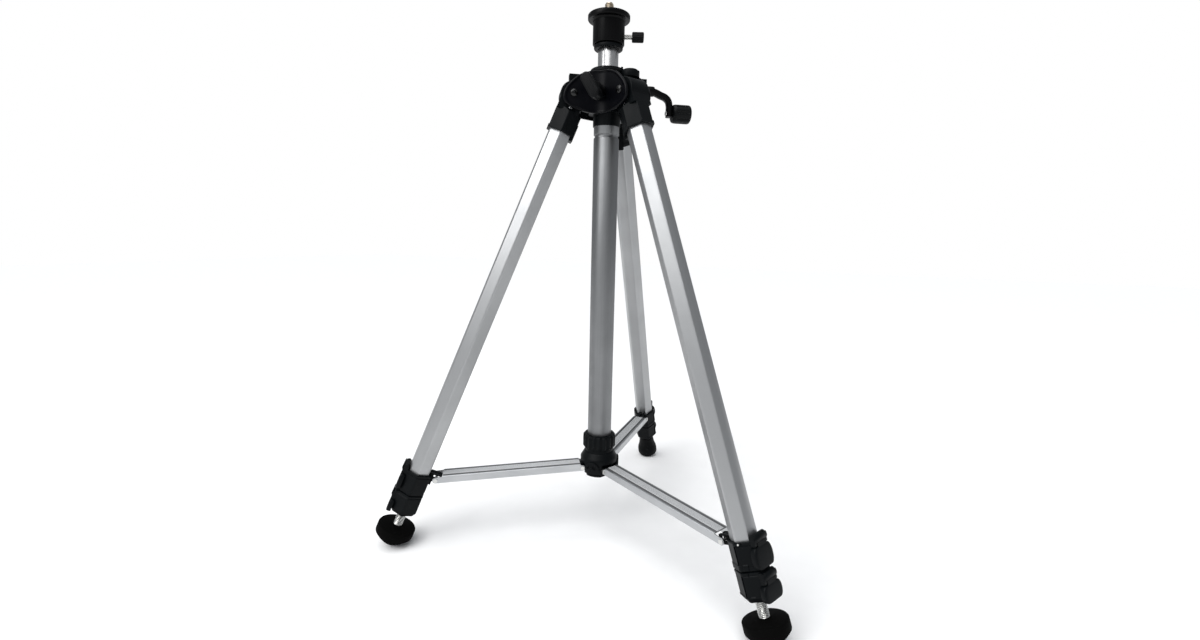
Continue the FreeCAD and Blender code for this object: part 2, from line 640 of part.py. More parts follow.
def lower_clamp():
    shell = clamp_shell(CLAMP_SPLIT + 0.4, LOWER_CLAMP_END, MIDDLE_AF, LOWER_AF + 0.6, 497)
    chamfer = cylinder(40, -LOWER_CLAMP_END + 5, -400)
    cone = Part.makeCone(13.4, 19.0, 6, Vector(0, 0, -LOWER_CLAMP_END))
    shell = shell.common(chamfer.fuse(cone))
    shell = shell.fuse(lever_ears(LOWER_LEVER_PIVOT, LOWER_LEVER_PIVOT + 6))
    shell = shell.cut(cross_rod(4.2, 6.4, LEVER_PIVOT_OUT, -LOWER_LEVER_PIVOT))
    shell = shell.cut(cross_rod(1.65, 12, LEVER_PIVOT_OUT, -LOWER_LEVER_PIVOT))
    shell = shell.cut(hexagon(MIDDLE_AF, -497, -440))
    return grooved(shell, CLAMP_SPLIT)


def grooved(shell, top):
    """Cut the long vertical slots in the clamp's two inner flanks."""
    for side in (-1, 1):
        slot = block(-0.8, 0.8, 13.7, 16, -top - 21, -top - 7)
        shell = shell.cut(slot.rotate(ORIGIN, Z_AXIS, side * 120))
    return shell


def lever(pivot, tip):
    """Flip lever with stub pins; its plate bulges sideways and hangs down from the pivot."""
    half_length = (tip - pivot - 7.2) / 2
    middle = -(tip - half_length)
    plate_y0 = LEVER_INNER
    plate_y1 = LEVER_OUTER
    left = Part.Arc(Vector(-9.0, plate_y0, middle + half_length), Vector(-13.2, plate_y0, middle),
                    Vector(-9.0, plate_y0, middle - half_length)).toShape()
    right = Part.Arc(Vector(9.0, plate_y0, middle - half_length), Vector(13.2, plate_y0, middle),
                     Vector(9.0, plate_y0, middle + half_length)).toShape()
    low = Part.makeLine(Vector(-9.0, plate_y0, middle - half_length),
                        Vector(9.0, plate_y0, middle - half_length))
    high = Part.makeLine(Vector(9.0, plate_y0, middle + half_length),
                         Vector(-9.0, plate_y0, middle + half_length))
    plate = Part.Face(Part.Wire([left, low, right, high])).extrude(Vector(0, plate_y1 - plate_y0, 0))
    neck = block(-6.0, 6.0, plate_y0, plate_y1, -pivot - 8, -pivot)
    hub = cross_rod(3.3, 6.0, LEVER_PIVOT_OUT, -pivot)
    stubs = cross_rod(1.6, 9.2, LEVER_PIVOT_OUT, -pivot)
    return plate.fuse(neck).fuse(hub).fuse(stubs)


def lower_tube():
    body = hexagon_tube(LOWER_AF, LOWER_WALL, 90, LOWER_TUBE_END)
    plug = hexagon(LOWER_AF - 2 * LOWER_WALL, -LOWER_TUBE_END, -PLUG_TOP, 1.0)
    return body.fuse(plug.cut(cylinder(SPINDLE_RADIUS + 0.05, -520, -PLUG_TOP + 10)))


def spindle():
    return cylinder(SPINDLE_RADIUS, -SPINDLE_END, -SPINDLE_TOP)


def swivel_pad():
    """Stepped dome pad of a levelling foot, coaxial with its spindle."""
    profile = [(0, -522.2), (5.0, -522.2), (7.0, -522.6), (20.6, -PAD_RIM_TOP),
               (21.25, -PAD_RIM_TOP - 0.8), (21.25, -PAD_RIM_END)]
    steps = 5
    for index in range(1, steps + 1):
        share = index / steps
        radius = 21.25 - (21.25 - 9.5) * share ** 1.15
        previous = profile[-1][1]
        profile.append((radius, previous))
        profile.append((radius, -PAD_RIM_END - (PAD_FLAT - PAD_RIM_END) * share))
    profile.append((0, -PAD_FLAT))
    return turned(profile).cut(cylinder(SPINDLE_RADIUS + 0.07, -SPINDLE_END - 0.3, -500))


def bell_foot():
    """Plain rubber foot, its end rounded by a ball that touches the floor."""
    ball = Part.makeSphere(20, Vector(0, 0, -BELL_CENTRE))
    bell = turned([(0, -LOWER_TUBE_END - 0.1), (10.4, -LOWER_TUBE_END - 0.1), (11, -LOWER_TUBE_END - 0.9),
                   (11.4, -517), (12.6, -524), (14.5, -530.5), (15, -534), (15, -560), (0, -560)])
    bell = bell.common(ball.fuse(cylinder(30, -BELL_CENTRE, -500)))
    stem = cylinder(SPINDLE_RADIUS, -512, -SPINDLE_TOP)
    return bell.fuse(stem)


def write_leg(name, azimuth):
    prefix = name + "_leg_"
    save(prefix + "socket", in_leg(leg_socket(), azimuth))
    save(prefix + "upper_tube", in_leg(hexagon_tube(UPPER_AF, UPPER_WALL, TUBE_START, 471.5), azimuth))
    save(prefix + "middle_tube", in_leg(hexagon_tube(MIDDLE_AF, MIDDLE_WALL, 60, 496.5), azimuth))
    save(prefix + "lower_tube", in_leg(lower_tube(), azimuth))
    save(prefix + "upper_clamp", in_leg(upper_clamp(), azimuth))
    save(prefix + "lower_clamp", in_leg(lower_clamp(), azimuth))
    save(prefix + "upper_lever", in_leg(lever(UPPER_LEVER_PIVOT, UPPER_LEVER_TIP), azimuth))
    save(prefix + "lower_lever", in_leg(lever(LOWER_LEVER_PIVOT, LOWER_LEVER_TIP), azimuth))
    save(name + "_brace", place_brace(brace(), azimuth))
    save(name + "_brace_rivets", [place_brace(rivet, azimuth) for rivet in brace_rivets()])
    if name == "back":
        save("back_foot", in_leg(bell_foot(), azimuth))
    else:
        save(name + "_foot_spindle", in_leg(spindle(), azimuth))
        save(name + "_foot_pad", in_leg(swivel_pad(), azimuth))


def main():
    os.makedirs("parts", exist_ok=True)
    for piece in (crown_body, cover_front, cover_crank_side, cover_rear, leg_pivot_bolts, bubble_level,
                  column_bushing, centre_sleeve, lock_knob, centre_column, column_rack, column_collar,
                  head_body, platform_pad, mounting_stud, thumb_screw, thumb_knob, crank_shaft,
                  pinion_gear, crank_arm, crank_knob_pin, crank_knob, hub_body, hub_nut, hub_collet):
        save(piece.__name__, piece())
    for name, azimuth in LEG_AZIMUTHS.items():
        write_leg(name, azimuth)


main()
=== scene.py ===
import json
import math

import bmesh
import bpy
from mathutils import Matrix, Vector


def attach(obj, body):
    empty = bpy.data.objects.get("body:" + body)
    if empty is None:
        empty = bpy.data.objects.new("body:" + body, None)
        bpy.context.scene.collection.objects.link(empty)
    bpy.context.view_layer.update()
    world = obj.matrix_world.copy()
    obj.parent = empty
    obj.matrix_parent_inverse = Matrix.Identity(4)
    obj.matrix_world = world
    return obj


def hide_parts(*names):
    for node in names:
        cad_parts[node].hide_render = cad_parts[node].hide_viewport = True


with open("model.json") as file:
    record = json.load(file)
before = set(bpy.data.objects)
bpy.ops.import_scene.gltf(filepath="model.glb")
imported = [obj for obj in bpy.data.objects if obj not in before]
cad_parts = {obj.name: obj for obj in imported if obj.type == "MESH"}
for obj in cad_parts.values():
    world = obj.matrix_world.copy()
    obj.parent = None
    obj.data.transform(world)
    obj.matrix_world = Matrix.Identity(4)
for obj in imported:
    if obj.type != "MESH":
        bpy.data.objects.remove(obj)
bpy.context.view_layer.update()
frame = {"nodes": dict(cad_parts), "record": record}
NODES = frame["nodes"]
SLOT_OF = {entry["node"]: entry["material_slot"] for entry in frame["record"]["subparts"]}

# --- driving dimensions, in millimetres and degrees unless turned into others here ------
MM = 0.001
AXIS = Vector((0.0, -57.4 * MM, 0.0))       # foot of the column axis on the floor
LEGS = {"back": 0.0, "right": 120.0, "left": 240.0}     # azimuths, from +Y towards +X
LEG_TILT = math.radians(22.49)
LEG_TOP_RADIUS = 34.4
LEG_TOP_Z = 507.0
LEG_TOP = Vector((0.0, LEG_TOP_RADIUS * MM, LEG_TOP_Z * MM))
HUB_PIN = Vector((0, 21.0, 84.0))           # inner and outer rivet of a brace
LUG_PIN = Vector((0, 190.0, 78.5))
CRANK_AZIMUTH = 60
CRANK_OFFSET = 15.5                         # crank shaft beside the column
CRANK_Z = 520.0
GRIP_Z = 497.5
THUMB_AZIMUTH = 70.4
THUMB_Z = 568
LOCK_Z = 506
COVER_AZIMUTHS = {"front": 180, "crank_side": 60, "rear": 300}
LEVEL = dict(azimuth=95.0, reach=26.0, cup=11.5, collar=20.8, rim=530.2, top=532.6)
CLAMP_AF = 28.6                             # clamps, across flats
LEVER_OUT = 15.2                            # lever pins outside the leg axis
LEVER_HALF = 9.4                            # half width of a lever at its ends
LEVER_ABOVE = 7.2                           # from a lever's pins down to its plate
CLAMPS = {
    "upper": dict(pivot=451.5, tip=477.4, top=453.5, end=478.6, bore=23.05, low_bore=20.6, taper=0.0),
    "lower": dict(pivot=484.0, tip=505.6, top=479.4, end=506.0, bore=20.05, low_bore=17.6, taper=4.6),
}
PAD_RADIUS = 21.25
PAD_STEPS = 6
CAD_ROUNDING = 0.35                         # radius given to the edges of carried-over pieces
TINY = 0.01                                 # radius at which a turned shell is closed


# --- places ---------------------------------------------------------------------------
def about_axis(azimuth):
    """Frame on the column axis whose +Y points out at an azimuth (clockwise from +Y)."""
    return Matrix.Translation(AXIS) @ Matrix.Rotation(-math.radians(azimuth), 4, "Z")


def leg_frame(name):
    """X across the leg, Y outwards, Z up the leg, from the hinge level."""
    lean = Matrix.Rotation(LEG_TILT, 4, "X")
    return about_axis(LEGS[name]) @ Matrix.Translation(LEG_TOP) @ lean


def pointing_out(azimuth, height, offset=0.0):
    """Frame whose +Z points out at an azimuth, at a height, offset to the left of the axis."""
    lay = Matrix.Rotation(-math.pi / 2, 4, "X")
    return about_axis(azimuth) @ Matrix.Translation((-offset * MM, 0, height * MM)) @ lay


# --- material helpers -----------------------------------------------------------------
def add(tree, kind, **settings):
    """New shader node with some of its settings."""
    made = tree.nodes.new(kind)
    for key, value in settings.items():
        setattr(made, key, value)
    return made


def link(tree, out, into):
    """Connect an output socket to an input socket."""
    tree.links.new(out, into)


def grain(tree, coords, scale, detail=3.0, stretch=None, turn=None):
    """Noise in the object's own metres, optionally turned and then stretched."""
    noise = add(tree, "ShaderNodeTexNoise")
    noise.inputs["Scale"].default_value = scale
    noise.inputs["Detail"].default_value = detail
    source = coords
    if stretch is not None:
        place = add(tree, "ShaderNodeMapping")
        place.inputs["Scale"].default_value = stretch
        if turn is not None:
            rotate = add(tree, "ShaderNodeMapping")
            rotate.inputs["Rotation"].default_value = turn
            link(tree, source, rotate.inputs["Vector"])
            source = rotate.outputs["Vector"]
        link(tree, source, place.inputs["Vector"])
        source = place.outputs["Vector"]
    link(tree, source, noise.inputs["Vector"])
    return noise.outputs["Fac"]


def ranged(tree, value, low, high, low_in=0.3, high_in=0.7):
    """Remap a texture value to a range."""
    remap = add(tree, "ShaderNodeMapRange")
    remap.inputs["From Min"].default_value = low_in
    remap.inputs["From Max"].default_value = high_in
    remap.inputs["To Min"].default_value = low
    remap.inputs["To Max"].default_value = high
    link(tree, value, remap.inputs["Value"])
    return remap.outputs["Result"]


def mixed(tree, factor, first, second):
    """Blend two colours, either of which may be a socket."""
    mix = add(tree, "ShaderNodeMix", data_type="RGBA")
    link(tree, factor, mix.inputs["Factor"])
    for value, socket in ((first, mix.inputs["A"]), (second, mix.inputs["B"])):
        if isinstance(value, tuple):
            socket.default_value = (*value, 1.0)
        else:
            link(tree, value, socket)
    return mix.outputs["Result"]


def edge_mask(tree, radius, strength):
    """High where the surface turns sharply: the rubbed edges of a part."""
    soft = add(tree, "ShaderNodeBevel", samples=4)
    soft.inputs["Radius"].default_value = radius
    true = add(tree, "ShaderNodeNewGeometry")
    dot = add(tree, "ShaderNodeVectorMath", operation="DOT_PRODUCT")
    link(tree, soft.outputs["Normal"], dot.inputs[0])
    link(tree, true.outputs["Normal"], dot.inputs[1])
    return ranged(tree, dot.outputs["Value"], strength, 0.0, 0.75, 0.98)


def bumped(tree, shader, height, strength, distance):
    """Raise the surface by a texture value."""
    bump = add(tree, "ShaderNodeBump")
    bump.inputs["Strength"].default_value = strength
    bump.inputs["Distance"].default_value = distance
    link(tree, height, bump.inputs["Height"])
    link(tree, bump.outputs["Normal"], shader.inputs["Normal"])


def start_material(name, metallic, specular=0.5, coat=0.0):
    """New material with its shader's constants set, and the coordinates its textures use."""
    made = bpy.data.materials.new(name)
    made.use_nodes = True
    tree = made.node_tree
    shader = tree.nodes["Principled BSDF"]
    shader.inputs["Metallic"].default_value = metallic
    shader.inputs["Specular IOR Level"].default_value = specular
    shader.inputs["Coat Weight"].default_value = coat
    shader.inputs["Coat Roughness"].default_value = 0.1
    coords = add(tree, "ShaderNodeTexCoord").outputs["Object"]
    return made, tree, shader, coords


def plastic(name, colour, rubbed, roughness, grain_size, bump, specular=0.5, coat=0.0, edge=0.6):
    """Moulded plastic or rubber: fine tooled grain, slight mottling, paler rubbed edges."""
    made, tree, shader, coords = start_material(name, 0.0, specular, coat)
    fine = grain(tree, coords, 1.0 / (grain_size * MM), 2.0)
    broad = grain(tree, coords, 45.0, 4.0)
    mottled = mixed(tree, ranged(tree, broad, 0.0, 1.0), colour, tuple(1.35 * c for c in colour))
    wear_noise = grain(tree, coords, 260.0, 5.0)
    wear = add(tree, "ShaderNodeMath", operation="MULTIPLY")
    link(tree, edge_mask(tree, 0.5 * MM, edge), wear.inputs[0])
    link(tree, ranged(tree, wear_noise, 0.15, 1.0), wear.inputs[1])
    link(tree, mixed(tree, wear.outputs[0], mottled, rubbed), shader.inputs["Base Color"])
    link(tree, ranged(tree, broad, roughness - 0.06, roughness + 0.07), shader.inputs["Roughness"])
    bumped(tree, shader, fine, bump, 0.05 * MM)
    return made


def metal(name, colour, roughness, stretch, metallic=1.0):
    """Drawn or anodised metal: hairlines along the draw direction and soft clouding."""
    made, tree, shader, coords = start_material(name, metallic)
    lines = grain(tree, coords, 900.0, 3.0, stretch)
    cloud = grain(tree, coords, 28.0, 4.0)
    toned = mixed(tree, ranged(tree, cloud, 0.0, 1.0), colour, tuple(0.9 * c for c in colour))
    streaked = mixed(tree, ranged(tree, lines, 0.0, 0.25), toned, tuple(0.8 * c for c in colour))
    link(tree, streaked, shader.inputs["Base Color"])
    rough = add(tree, "ShaderNodeMath", operation="ADD")
    link(tree, ranged(tree, cloud, roughness - 0.05, roughness + 0.05), rough.inputs[0])
    link(tree, ranged(tree, lines, -0.04, 0.05), rough.inputs[1])
    link(tree, rough.outputs[0], shader.inputs["Roughness"])
    bumped(tree, shader, lines, 0.12, 0.02 * MM)
    return made


def leg_metal(name):
    """Satin anodised extrusion; the hairlines follow this leg."""
    azimuth = math.radians(LEGS[name])
    turn = (-LEG_TILT, 0.0, 0.0)
    made, tree, shader, coords = start_material("leg_aluminium_" + name, 1.0)
    swing = add(tree, "ShaderNodeMapping")
    swing.inputs["Rotation"].default_value = (0.0, 0.0, azimuth)
    link(tree, coords, swing.inputs["Vector"])
    lines = grain(tree, swing.outputs["Vector"], 700.0, 3.0, (1.0, 1.0, 0.012), turn)
    fine = grain(tree, coords, 3200.0, 2.0)
    cloud = grain(tree, coords, 22.0, 4.0)
    toned = mixed(tree, ranged(tree, cloud, 0.0, 1.0), (0.41, 0.415, 0.42), (0.37, 0.375, 0.38))
    streaked = mixed(tree, ranged(tree, lines, 0.0, 0.3), toned, (0.36, 0.365, 0.37))
    link(tree, streaked, shader.inputs["Base Color"])
    rough = add(tree, "ShaderNodeMath", operation="ADD")
    link(tree, ranged(tree, cloud, 0.36, 0.44), rough.inputs[0])
    link(tree, ranged(tree, fine, -0.03, 0.03), rough.inputs[1])
    link(tree, rough.outputs[0], shader.inputs["Roughness"])
    bumped(tree, shader, lines, 0.08, 0.02 * MM)
    return made


ALONG_Z = (1.0, 1.0, 0.012)     # draw directions of the metal pieces' hairlines
ALL_WAYS = (1.0, 1.0, 1.0)
ACROSS = (0.05, 0.05, 1.0)
# plastics and rubbers: colour, rubbed colour, roughness, grain in mm, bump, then what differs
PLASTICS = {
    "black_plastic": ((0.0016, 0.0023, 0.0028), (0.010, 0.012, 0.014), 0.44, 0.35, 0.35,
                      dict(specular=0.09)),
    "gloss_cover": ((0.0012, 0.0013, 0.0022), (0.014, 0.014, 0.018), 0.32, 1.2, 0.05,
                    dict(specular=0.11, edge=0.3)),
    "knob_plastic": ((0.0014, 0.0017, 0.002), (0.010, 0.011, 0.012), 0.40, 0.4, 0.3, dict(specular=0.12)),
    "black_enamel": ((0.0010, 0.0010, 0.0012), (0.008, 0.008, 0.009), 0.36, 0.5, 0.12,
                     dict(specular=0.10, edge=0.4)),
    "bolt_black": ((0.0015, 0.0015, 0.0016), (0.01, 0.01, 0.011), 0.2, 0.6, 0.05,
                   dict(specular=0.4, edge=0.3)),
    "pad_rubber": ((0.0008, 0.0008, 0.0007), (0.003, 0.003, 0.003), 0.8, 0.5, 0.4, dict(specular=0.05)),
    "foot_rubber": ((0.0014, 0.0018, 0.0020), (0.008, 0.009, 0.010), 0.55, 0.5, 0.4, dict(specular=0.08)),
    "nylon": ((0.55, 0.55, 0.52), (0.65, 0.65, 0.62), 0.5, 0.6, 0.2, {}),
    "vial": ((0.05, 0.06, 0.05), (0.1, 0.12, 0.1), 0.08, 2.0, 0.02, dict(coat=1.0, edge=0.1)),
}
# metals: colour, roughness, stretch of the hairlines, how metallic
METALS = {
    "steel": ((0.66, 0.66, 0.64), 0.24, (1.0, 1.0, 0.2), 1.0),
    "sleeve_aluminium": ((0.24, 0.245, 0.25), 0.46, ALONG_Z, 1.0),
    "column_aluminium": ((0.50, 0.50, 0.50), 0.30, ALONG_Z, 1.0),
    "brace_aluminium": ((0.50, 0.51, 0.52), 0.36, ACROSS, 1.0),
    # dark material for a brace's edge strips, also laid on the valleys between its ribs as painted shade
    "brace_strip": ((0.15, 0.153, 0.157), 0.5, ACROSS, 0.6),
    # pale, barely metallic material laid on a brace's rib tops as a painted highlight
    "brace_ribs": ((0.80, 0.81, 0.82), 0.45, ACROSS, 0.25),
    "brass_stud": ((0.60, 0.53, 0.43), 0.28, ALL_WAYS, 1.0),
}
MATERIALS = {}
for finish, (*values, extra) in PLASTICS.items():
    MATERIALS[finish] = plastic(finish, *values, **extra)
for finish, values in METALS.items():
    MATERIALS[finish] = metal(finish, *values)
for leg_name in LEGS:
    MATERIALS["leg_aluminium_" + leg_name] = leg_metal(leg_name)


def material_for(node):
    """Material of a carried-over node: its slot's, but the bolts are dark and each leg has its own."""
    if node == "leg_pivot_bolts":
        return MATERIALS["bolt_black"]
    slot = SLOT_OF[node]
    if slot == "leg_aluminium":
        slot += "_" + node.split("_")[0]
    return MATERIALS[slot]


# --- CAD nodes ------------------------------------------------------------------------
def round_edges(piece, width, segments, angle):
    """Bevel on the edges sharper than an angle in degrees."""
    bevel = piece.modifiers.new("edges", "BEVEL")
    bevel.width = width * MM
    bevel.segments = segments
    bevel.limit_method = "ANGLE"
    bevel.angle_limit = math.radians(angle)
    bevel.harden_normals = True


def finish_cad_node(node, piece):
    """Material, joined shells and small rounded edges on a carried-over piece."""
    if not piece.material_slots:
        piece.data.materials.append(material_for(node))
    for entry in piece.material_slots:
        entry.material = material_for(node)
    weld = piece.modifiers.new("weld", "WELD")
    weld.merge_threshold = 0.005 * MM
    round_edges(piece, CAD_ROUNDING, 2, 32)


for node_name, cad_piece in NODES.items():
    finish_cad_node(node_name, cad_piece)


# --- meshes ---------------------------------------------------------------------------
def ring_faces(count, first, second):
    """Quads between two closed rings of vertex numbers that start at first and second."""
    return [(first + i, first + (i + 1) % count, second + (i + 1) % count, second + i) for i in range(count)]


def skin(rings, capped=True):
    """Closed surface over equal rings: capped at both ends, or with its last ring joined to its first."""
    count = len(rings[0])
    points = [p for ring in rings for p in ring]
    faces = []
    for index in range(len(rings) - 1):
        faces += ring_faces(count, index * count, (index + 1) * count)
    if capped:
        faces.append(tuple(reversed(range(count))))
        faces.append(tuple(range((len(rings) - 1) * count, len(rings) * count)))
    else:
        faces += ring_faces(count, (len(rings) - 1) * count, 0)
    return points, faces


def spun(profile, segments, ripple=None):
    """Rings of a (radius, height) profile about Z; ripple may change a radius by angle and height."""
    rings = []
    for radius, height in profile:
        ring = []
        for index in range(segments):
            angle = math.tau * index / segments
            reach = radius if ripple is None else ripple(angle, radius, height)
            ring.append((reach * math.cos(angle), reach * math.sin(angle), height))
        rings.append(ring)
    return rings


def rounded_hexagon(across_flats, corner, per_side, bulge=0.0, corner_steps=4):
    """Outline of a hexagon with flats facing +Y and -Y; bulge swells the +Y flat."""
    apothem = across_flats / 2
    inner = apothem - corner
    half = inner * math.tan(math.pi / 6)
    outline = []
    for side in range(6):
        facing = math.radians(90 + 60 * side)
        out = Vector((math.cos(facing), math.sin(facing)))
        along = Vector((-math.sin(facing), math.cos(facing)))
        for step in range(per_side):
            share = -1 + 2 * step / (per_side - 1)
            swell = bulge * (1 - share * share) if side == 0 else 0.0
            outline.append(out * (apothem + swell) + along * half * share)
        pivot = out * inner + along * half
        for step in range(1, corner_steps):
            turn = facing + math.radians(60) * step / corner_steps
            outline.append(pivot + Vector((math.cos(turn), math.sin(turn))) * corner)
    return outline


def through_points(points, steps, closed=False):
    """Catmull-Rom curve through the points."""
    count = len(points)
    spans = count if closed else count - 1
    curve = []
    for span in range(spans):
        near = [span + k for k in (-1, 0, 1, 2)]
        if closed:
            near = [k % count for k in near]
        else:
            near = [min(max(k, 0), count - 1) for k in near]
        a, b, c, d = (Vector(points[k]) for k in near)
        for step in range(steps):
            t = step / steps
            curve.append(0.5 * (2 * b + (c - a) * t + (2 * a - 5 * b + 4 * c - d) * t * t
                                + (3 * b - a - 3 * c + d) * t * t * t))
    if not closed:
        curve.append(Vector(points[-1]))
    return curve


def joined_mesh(name, shells, place):
    """One mesh from closed shells given in millimetres in a frame."""
    points = []
    faces = []
    for shell_points, shell_faces in shells:
        start = len(points)
        points += [place @ (Vector(p) * MM) for p in shell_points]
        faces += [tuple(start + i for i in face) for face in shell_faces]
    mesh = bpy.data.meshes.new(name)
    mesh.from_pydata(points, [], faces)
    work = bmesh.new()
    work.from_mesh(mesh)
    bmesh.ops.recalc_face_normals(work, faces=work.faces[:])
    work.to_mesh(mesh)
    work.free()
    return mesh


def placed(name, data):
    """New object for a mesh, lamp or camera."""
    made = bpy.data.objects.new(name, data)
    bpy.context.scene.collection.objects.link(made)
    return made


def make_piece(name, shells, place, body, slot, instead_of=(), bevel=0.0, sharp=34.0, material=None):
    """Mesh piece riding on a body; its material is the slot's unless another is named."""
    mesh = joined_mesh(name, shells, place)
    mesh.polygons.foreach_set("use_smooth", [True] * len(mesh.polygons))
    mesh.set_sharp_from_angle(angle=math.radians(sharp))
    mesh.materials.append(MATERIALS[material or slot])
    piece = placed(name, mesh)
    if bevel:
        round_edges(piece, bevel, 3, sharp)
    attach(piece, body)
    if instead_of:
        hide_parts(*instead_of)
    return piece


def carve(piece, place, shells):
    """Cut closed shells out of a piece for good."""
    mesh = joined_mesh("cutter", shells, place)
    cutter = placed("cutter", mesh)
    cut = piece.modifiers.new("cut", "BOOLEAN")
    cut.operation = "DIFFERENCE"
    cut.solver = "EXACT"
    cut.object = cutter
    bpy.context.view_layer.update()
    done = bpy.data.meshes.new_from_object(piece.evaluated_get(bpy.context.evaluated_depsgraph_get()))
    piece.modifiers.remove(cut)
    piece.data = done
    bpy.data.objects.remove(cutter)
    bpy.data.meshes.remove(mesh)


def block(x0, x1, y0, y1, z0, z1):
    """Box between two corners."""
    ends = [[(x0, y0, z), (x1, y0, z), (x1, y1, z), (x0, y1, z)] for z in (z0, z1)]
    return skin(ends)


# --- head and crank -------------------------------------------------------------------
def thread(core, depth, pitch, start, end):
    """Ripple of a screw thread that fades out at its two ends."""
    def ripple(angle, radius, height):
        if radius < core:
            return radius
        phase = (height / pitch - angle / math.tau) % 1.0
        crest = 1 - abs(2 * phase - 1)
        fade = min(1.0, max(0.0, min(height - start, end - height) / (0.6 * pitch)))
        return core + depth * min(1.0, 1.35 * crest) * fade
    return ripple


def screw_rows(radius, start, end, step):
    """Profile of a plain rod with rows close enough to carry a thread."""
    count = max(2, int(round((end - start) / step)))
    return [(radius, start + (end - start) * i / count) for i in range(count + 1)]


def mounting_stud():
    """Threaded stud on a stepped washer."""
    rows = [(TINY, 588.2), (8.2, 588.2), (8.3, 588.5), (8.3, 589.3), (7.6, 590.2), (6.2, 591)]
    base = skin(spun(rows + [(4.6, 591.2), (4.6, 592), (TINY, 592)], 64))
    crest = 4.76
    core = 4.05
    rows = [(TINY, 590.6)] + screw_rows(crest, 590.8, 600.2, 0.18)
    rows += [(3.9, 600.7), (3.4, 601.4), (TINY, 601.5)]
    screw = skin(spun(rows, 48, thread(core, crest - core, 1.27, 590.9, 600.4)))
    make_piece("stud_thread", [base, screw], about_axis(0), "head", "brass_stud", ("mounting_stud",))


def thumb_screw():
    """Threaded clamping screw and its fluted knob."""
    place = pointing_out(THUMB_AZIMUTH, THUMB_Z)
    crest = 2.45
    core = 2.1
    rows = [(TINY, 12)] + screw_rows(crest, 12.2, 25.6, 0.14) + [(TINY, 25.7)]
    screw = skin(spun(rows, 32, thread(core, crest - core, 0.8, 12, 26)))
    make_piece("thumb_thread", [screw], place, "head_screw", "steel", ("thumb_screw",))

    def flutes(angle, radius, height):
        if radius < 4.4 or not 26 < height < 36.6:
            return radius
        return radius - 0.42 * abs(math.cos(8 * angle)) ** 3
    rows = [(TINY, 25), (4.3, 25), (4.9, 25.3), (5.2, 25.95), (5.25, 26.1), (5.25, 31), (5.25, 36.5),
            (5.15, 36.7), (4.8, 37.3), (4.2, 37.5), (2.6, 37.5), (2.3, 37.1), (TINY, 37.1)]
    make_piece("thumb_grip", [skin(spun(rows, 128, flutes))], place, "head_screw", "knob_plastic",
               ("thumb_knob",))


def crank_arm():
    """Rounded bar swept along its bend, with a boss on the shaft; the knob's pin shows at both sides."""
    path = [(50, 0), (57.5, -1), (64, -3.6), (69.5, -5.6), (73.3, -9), (74.8, -14), (74.9, -20),
            (74.9, -26.6)]
    curve = through_points(path, 6)
    wide = 4.5
    squareness = 0.7
    rings = []
    for index, spot in enumerate(curve):
        before = curve[max(index - 1, 0)]
        after = curve[min(index + 1, len(curve) - 1)]
        ahead = (after - before).normalized()
        side = Vector((-ahead.y, ahead.x))
        share = index / (len(curve) - 1)
        thick = 3.9 - 0.4 * share
        ring = []
        for k in range(28):
            angle = math.tau * k / 28
            across = math.copysign(abs(math.cos(angle)) ** squareness, math.cos(angle))
            over = math.copysign(abs(math.sin(angle)) ** squareness, math.sin(angle))
            out = spot + side * thick * over
            ring.append((wide * across, -out.y, out.x))
        rings.append(ring)
    rings.insert(0, [(0.9 * x, y, z - 0.4) for x, y, z in rings[0]])
    boss = [(TINY, 48.8), (4.7, 48.8), (5.3, 49.3), (5.4, 50), (5.4, 55), (5, 56.2), (4, 56.6),
            (TINY, 56.6)]
    make_piece("crank_bar", [skin(rings), skin(spun(boss, 48))],
               pointing_out(CRANK_AZIMUTH, CRANK_Z, CRANK_OFFSET), "crank", "black_enamel", ("crank_arm",))
    cap = [(TINY, 70.6), (2.4, 70.6), (2.9, 71), (2.9, 71.6), (TINY, 71.6)]
    rod = [(TINY, 77), (2.0, 77), (2.0, 79), (TINY, 79)]
    make_piece("crank_pin", [skin(spun(cap, 32)), skin(spun(rod, 32))],
               pointing_out(CRANK_AZIMUTH, GRIP_Z, CRANK_OFFSET), "crank", "steel", ("crank_knob_pin",))


def crank_grip():
    """Knob with long round-ended grooves."""
    def grooves(angle, radius, height):
        if radius < 9.3:
            return radius
        along = min(1.0, max(0.0, min(height - 82.2, 96.8 - height) / 1.3))
        across = max(0.0, math.cos(8 * angle)) ** 2
        return radius - 1.15 * across * math.sqrt(along)
    rows = [(TINY, 78.4), (8.4, 78.4), (9.2, 78.8), (9.8, 79.7), (10.1, 81), (10.25, 82)]
    rows += [(10.25, 82 + 0.5 * i) for i in range(1, 31)]
    rows += [(10.0, 98), (9.5, 98.9), (8.6, 99.5), (7.6, 99.7), (5.0, 99.7), (4.5, 99.2), (TINY, 99.2)]
    make_piece("crank_grip_knob", [skin(spun(rows, 160, grooves))],
               pointing_out(CRANK_AZIMUTH, GRIP_Z, CRANK_OFFSET), "crank_grip", "knob_plastic",
               ("crank_knob",))


# --- crown ----------------------------------------------------------------------------
COVER_HALF = [(0, 528.2), (8, 528), (19, 524), (26.5, 517.5), (32.5, 509.5), (34.6, 502),
              (33.3, 495.5), (27, 490.3), (16, 486.7), (6, 485.1), (0, 485)]
COVER_VALLEY = 19.63        # where the planes of the two wings would meet
VALLEY_RADIUS = 20.0
COVER_MIDDLE = Vector((0, 506))
# from the middle of a cover out to its rim and back: share of the way, and height over its face
COVER_LEVELS = [(0.04, 0), (0.3, 0), (0.55, 0), (0.72, 0), (0.82, 0), (0.87, 0), (0.9, 0.12), (0.925, 0.55),
                (0.945, 0.75), (0.965, 0.75), (0.985, 0.45), (0.997, -0.1), (1.0, -0.7), (1.0, -2.0),
                (0.95, -2.1), (0.6, -2.1), (0.3, -2.1), (0.04, -2.1)]


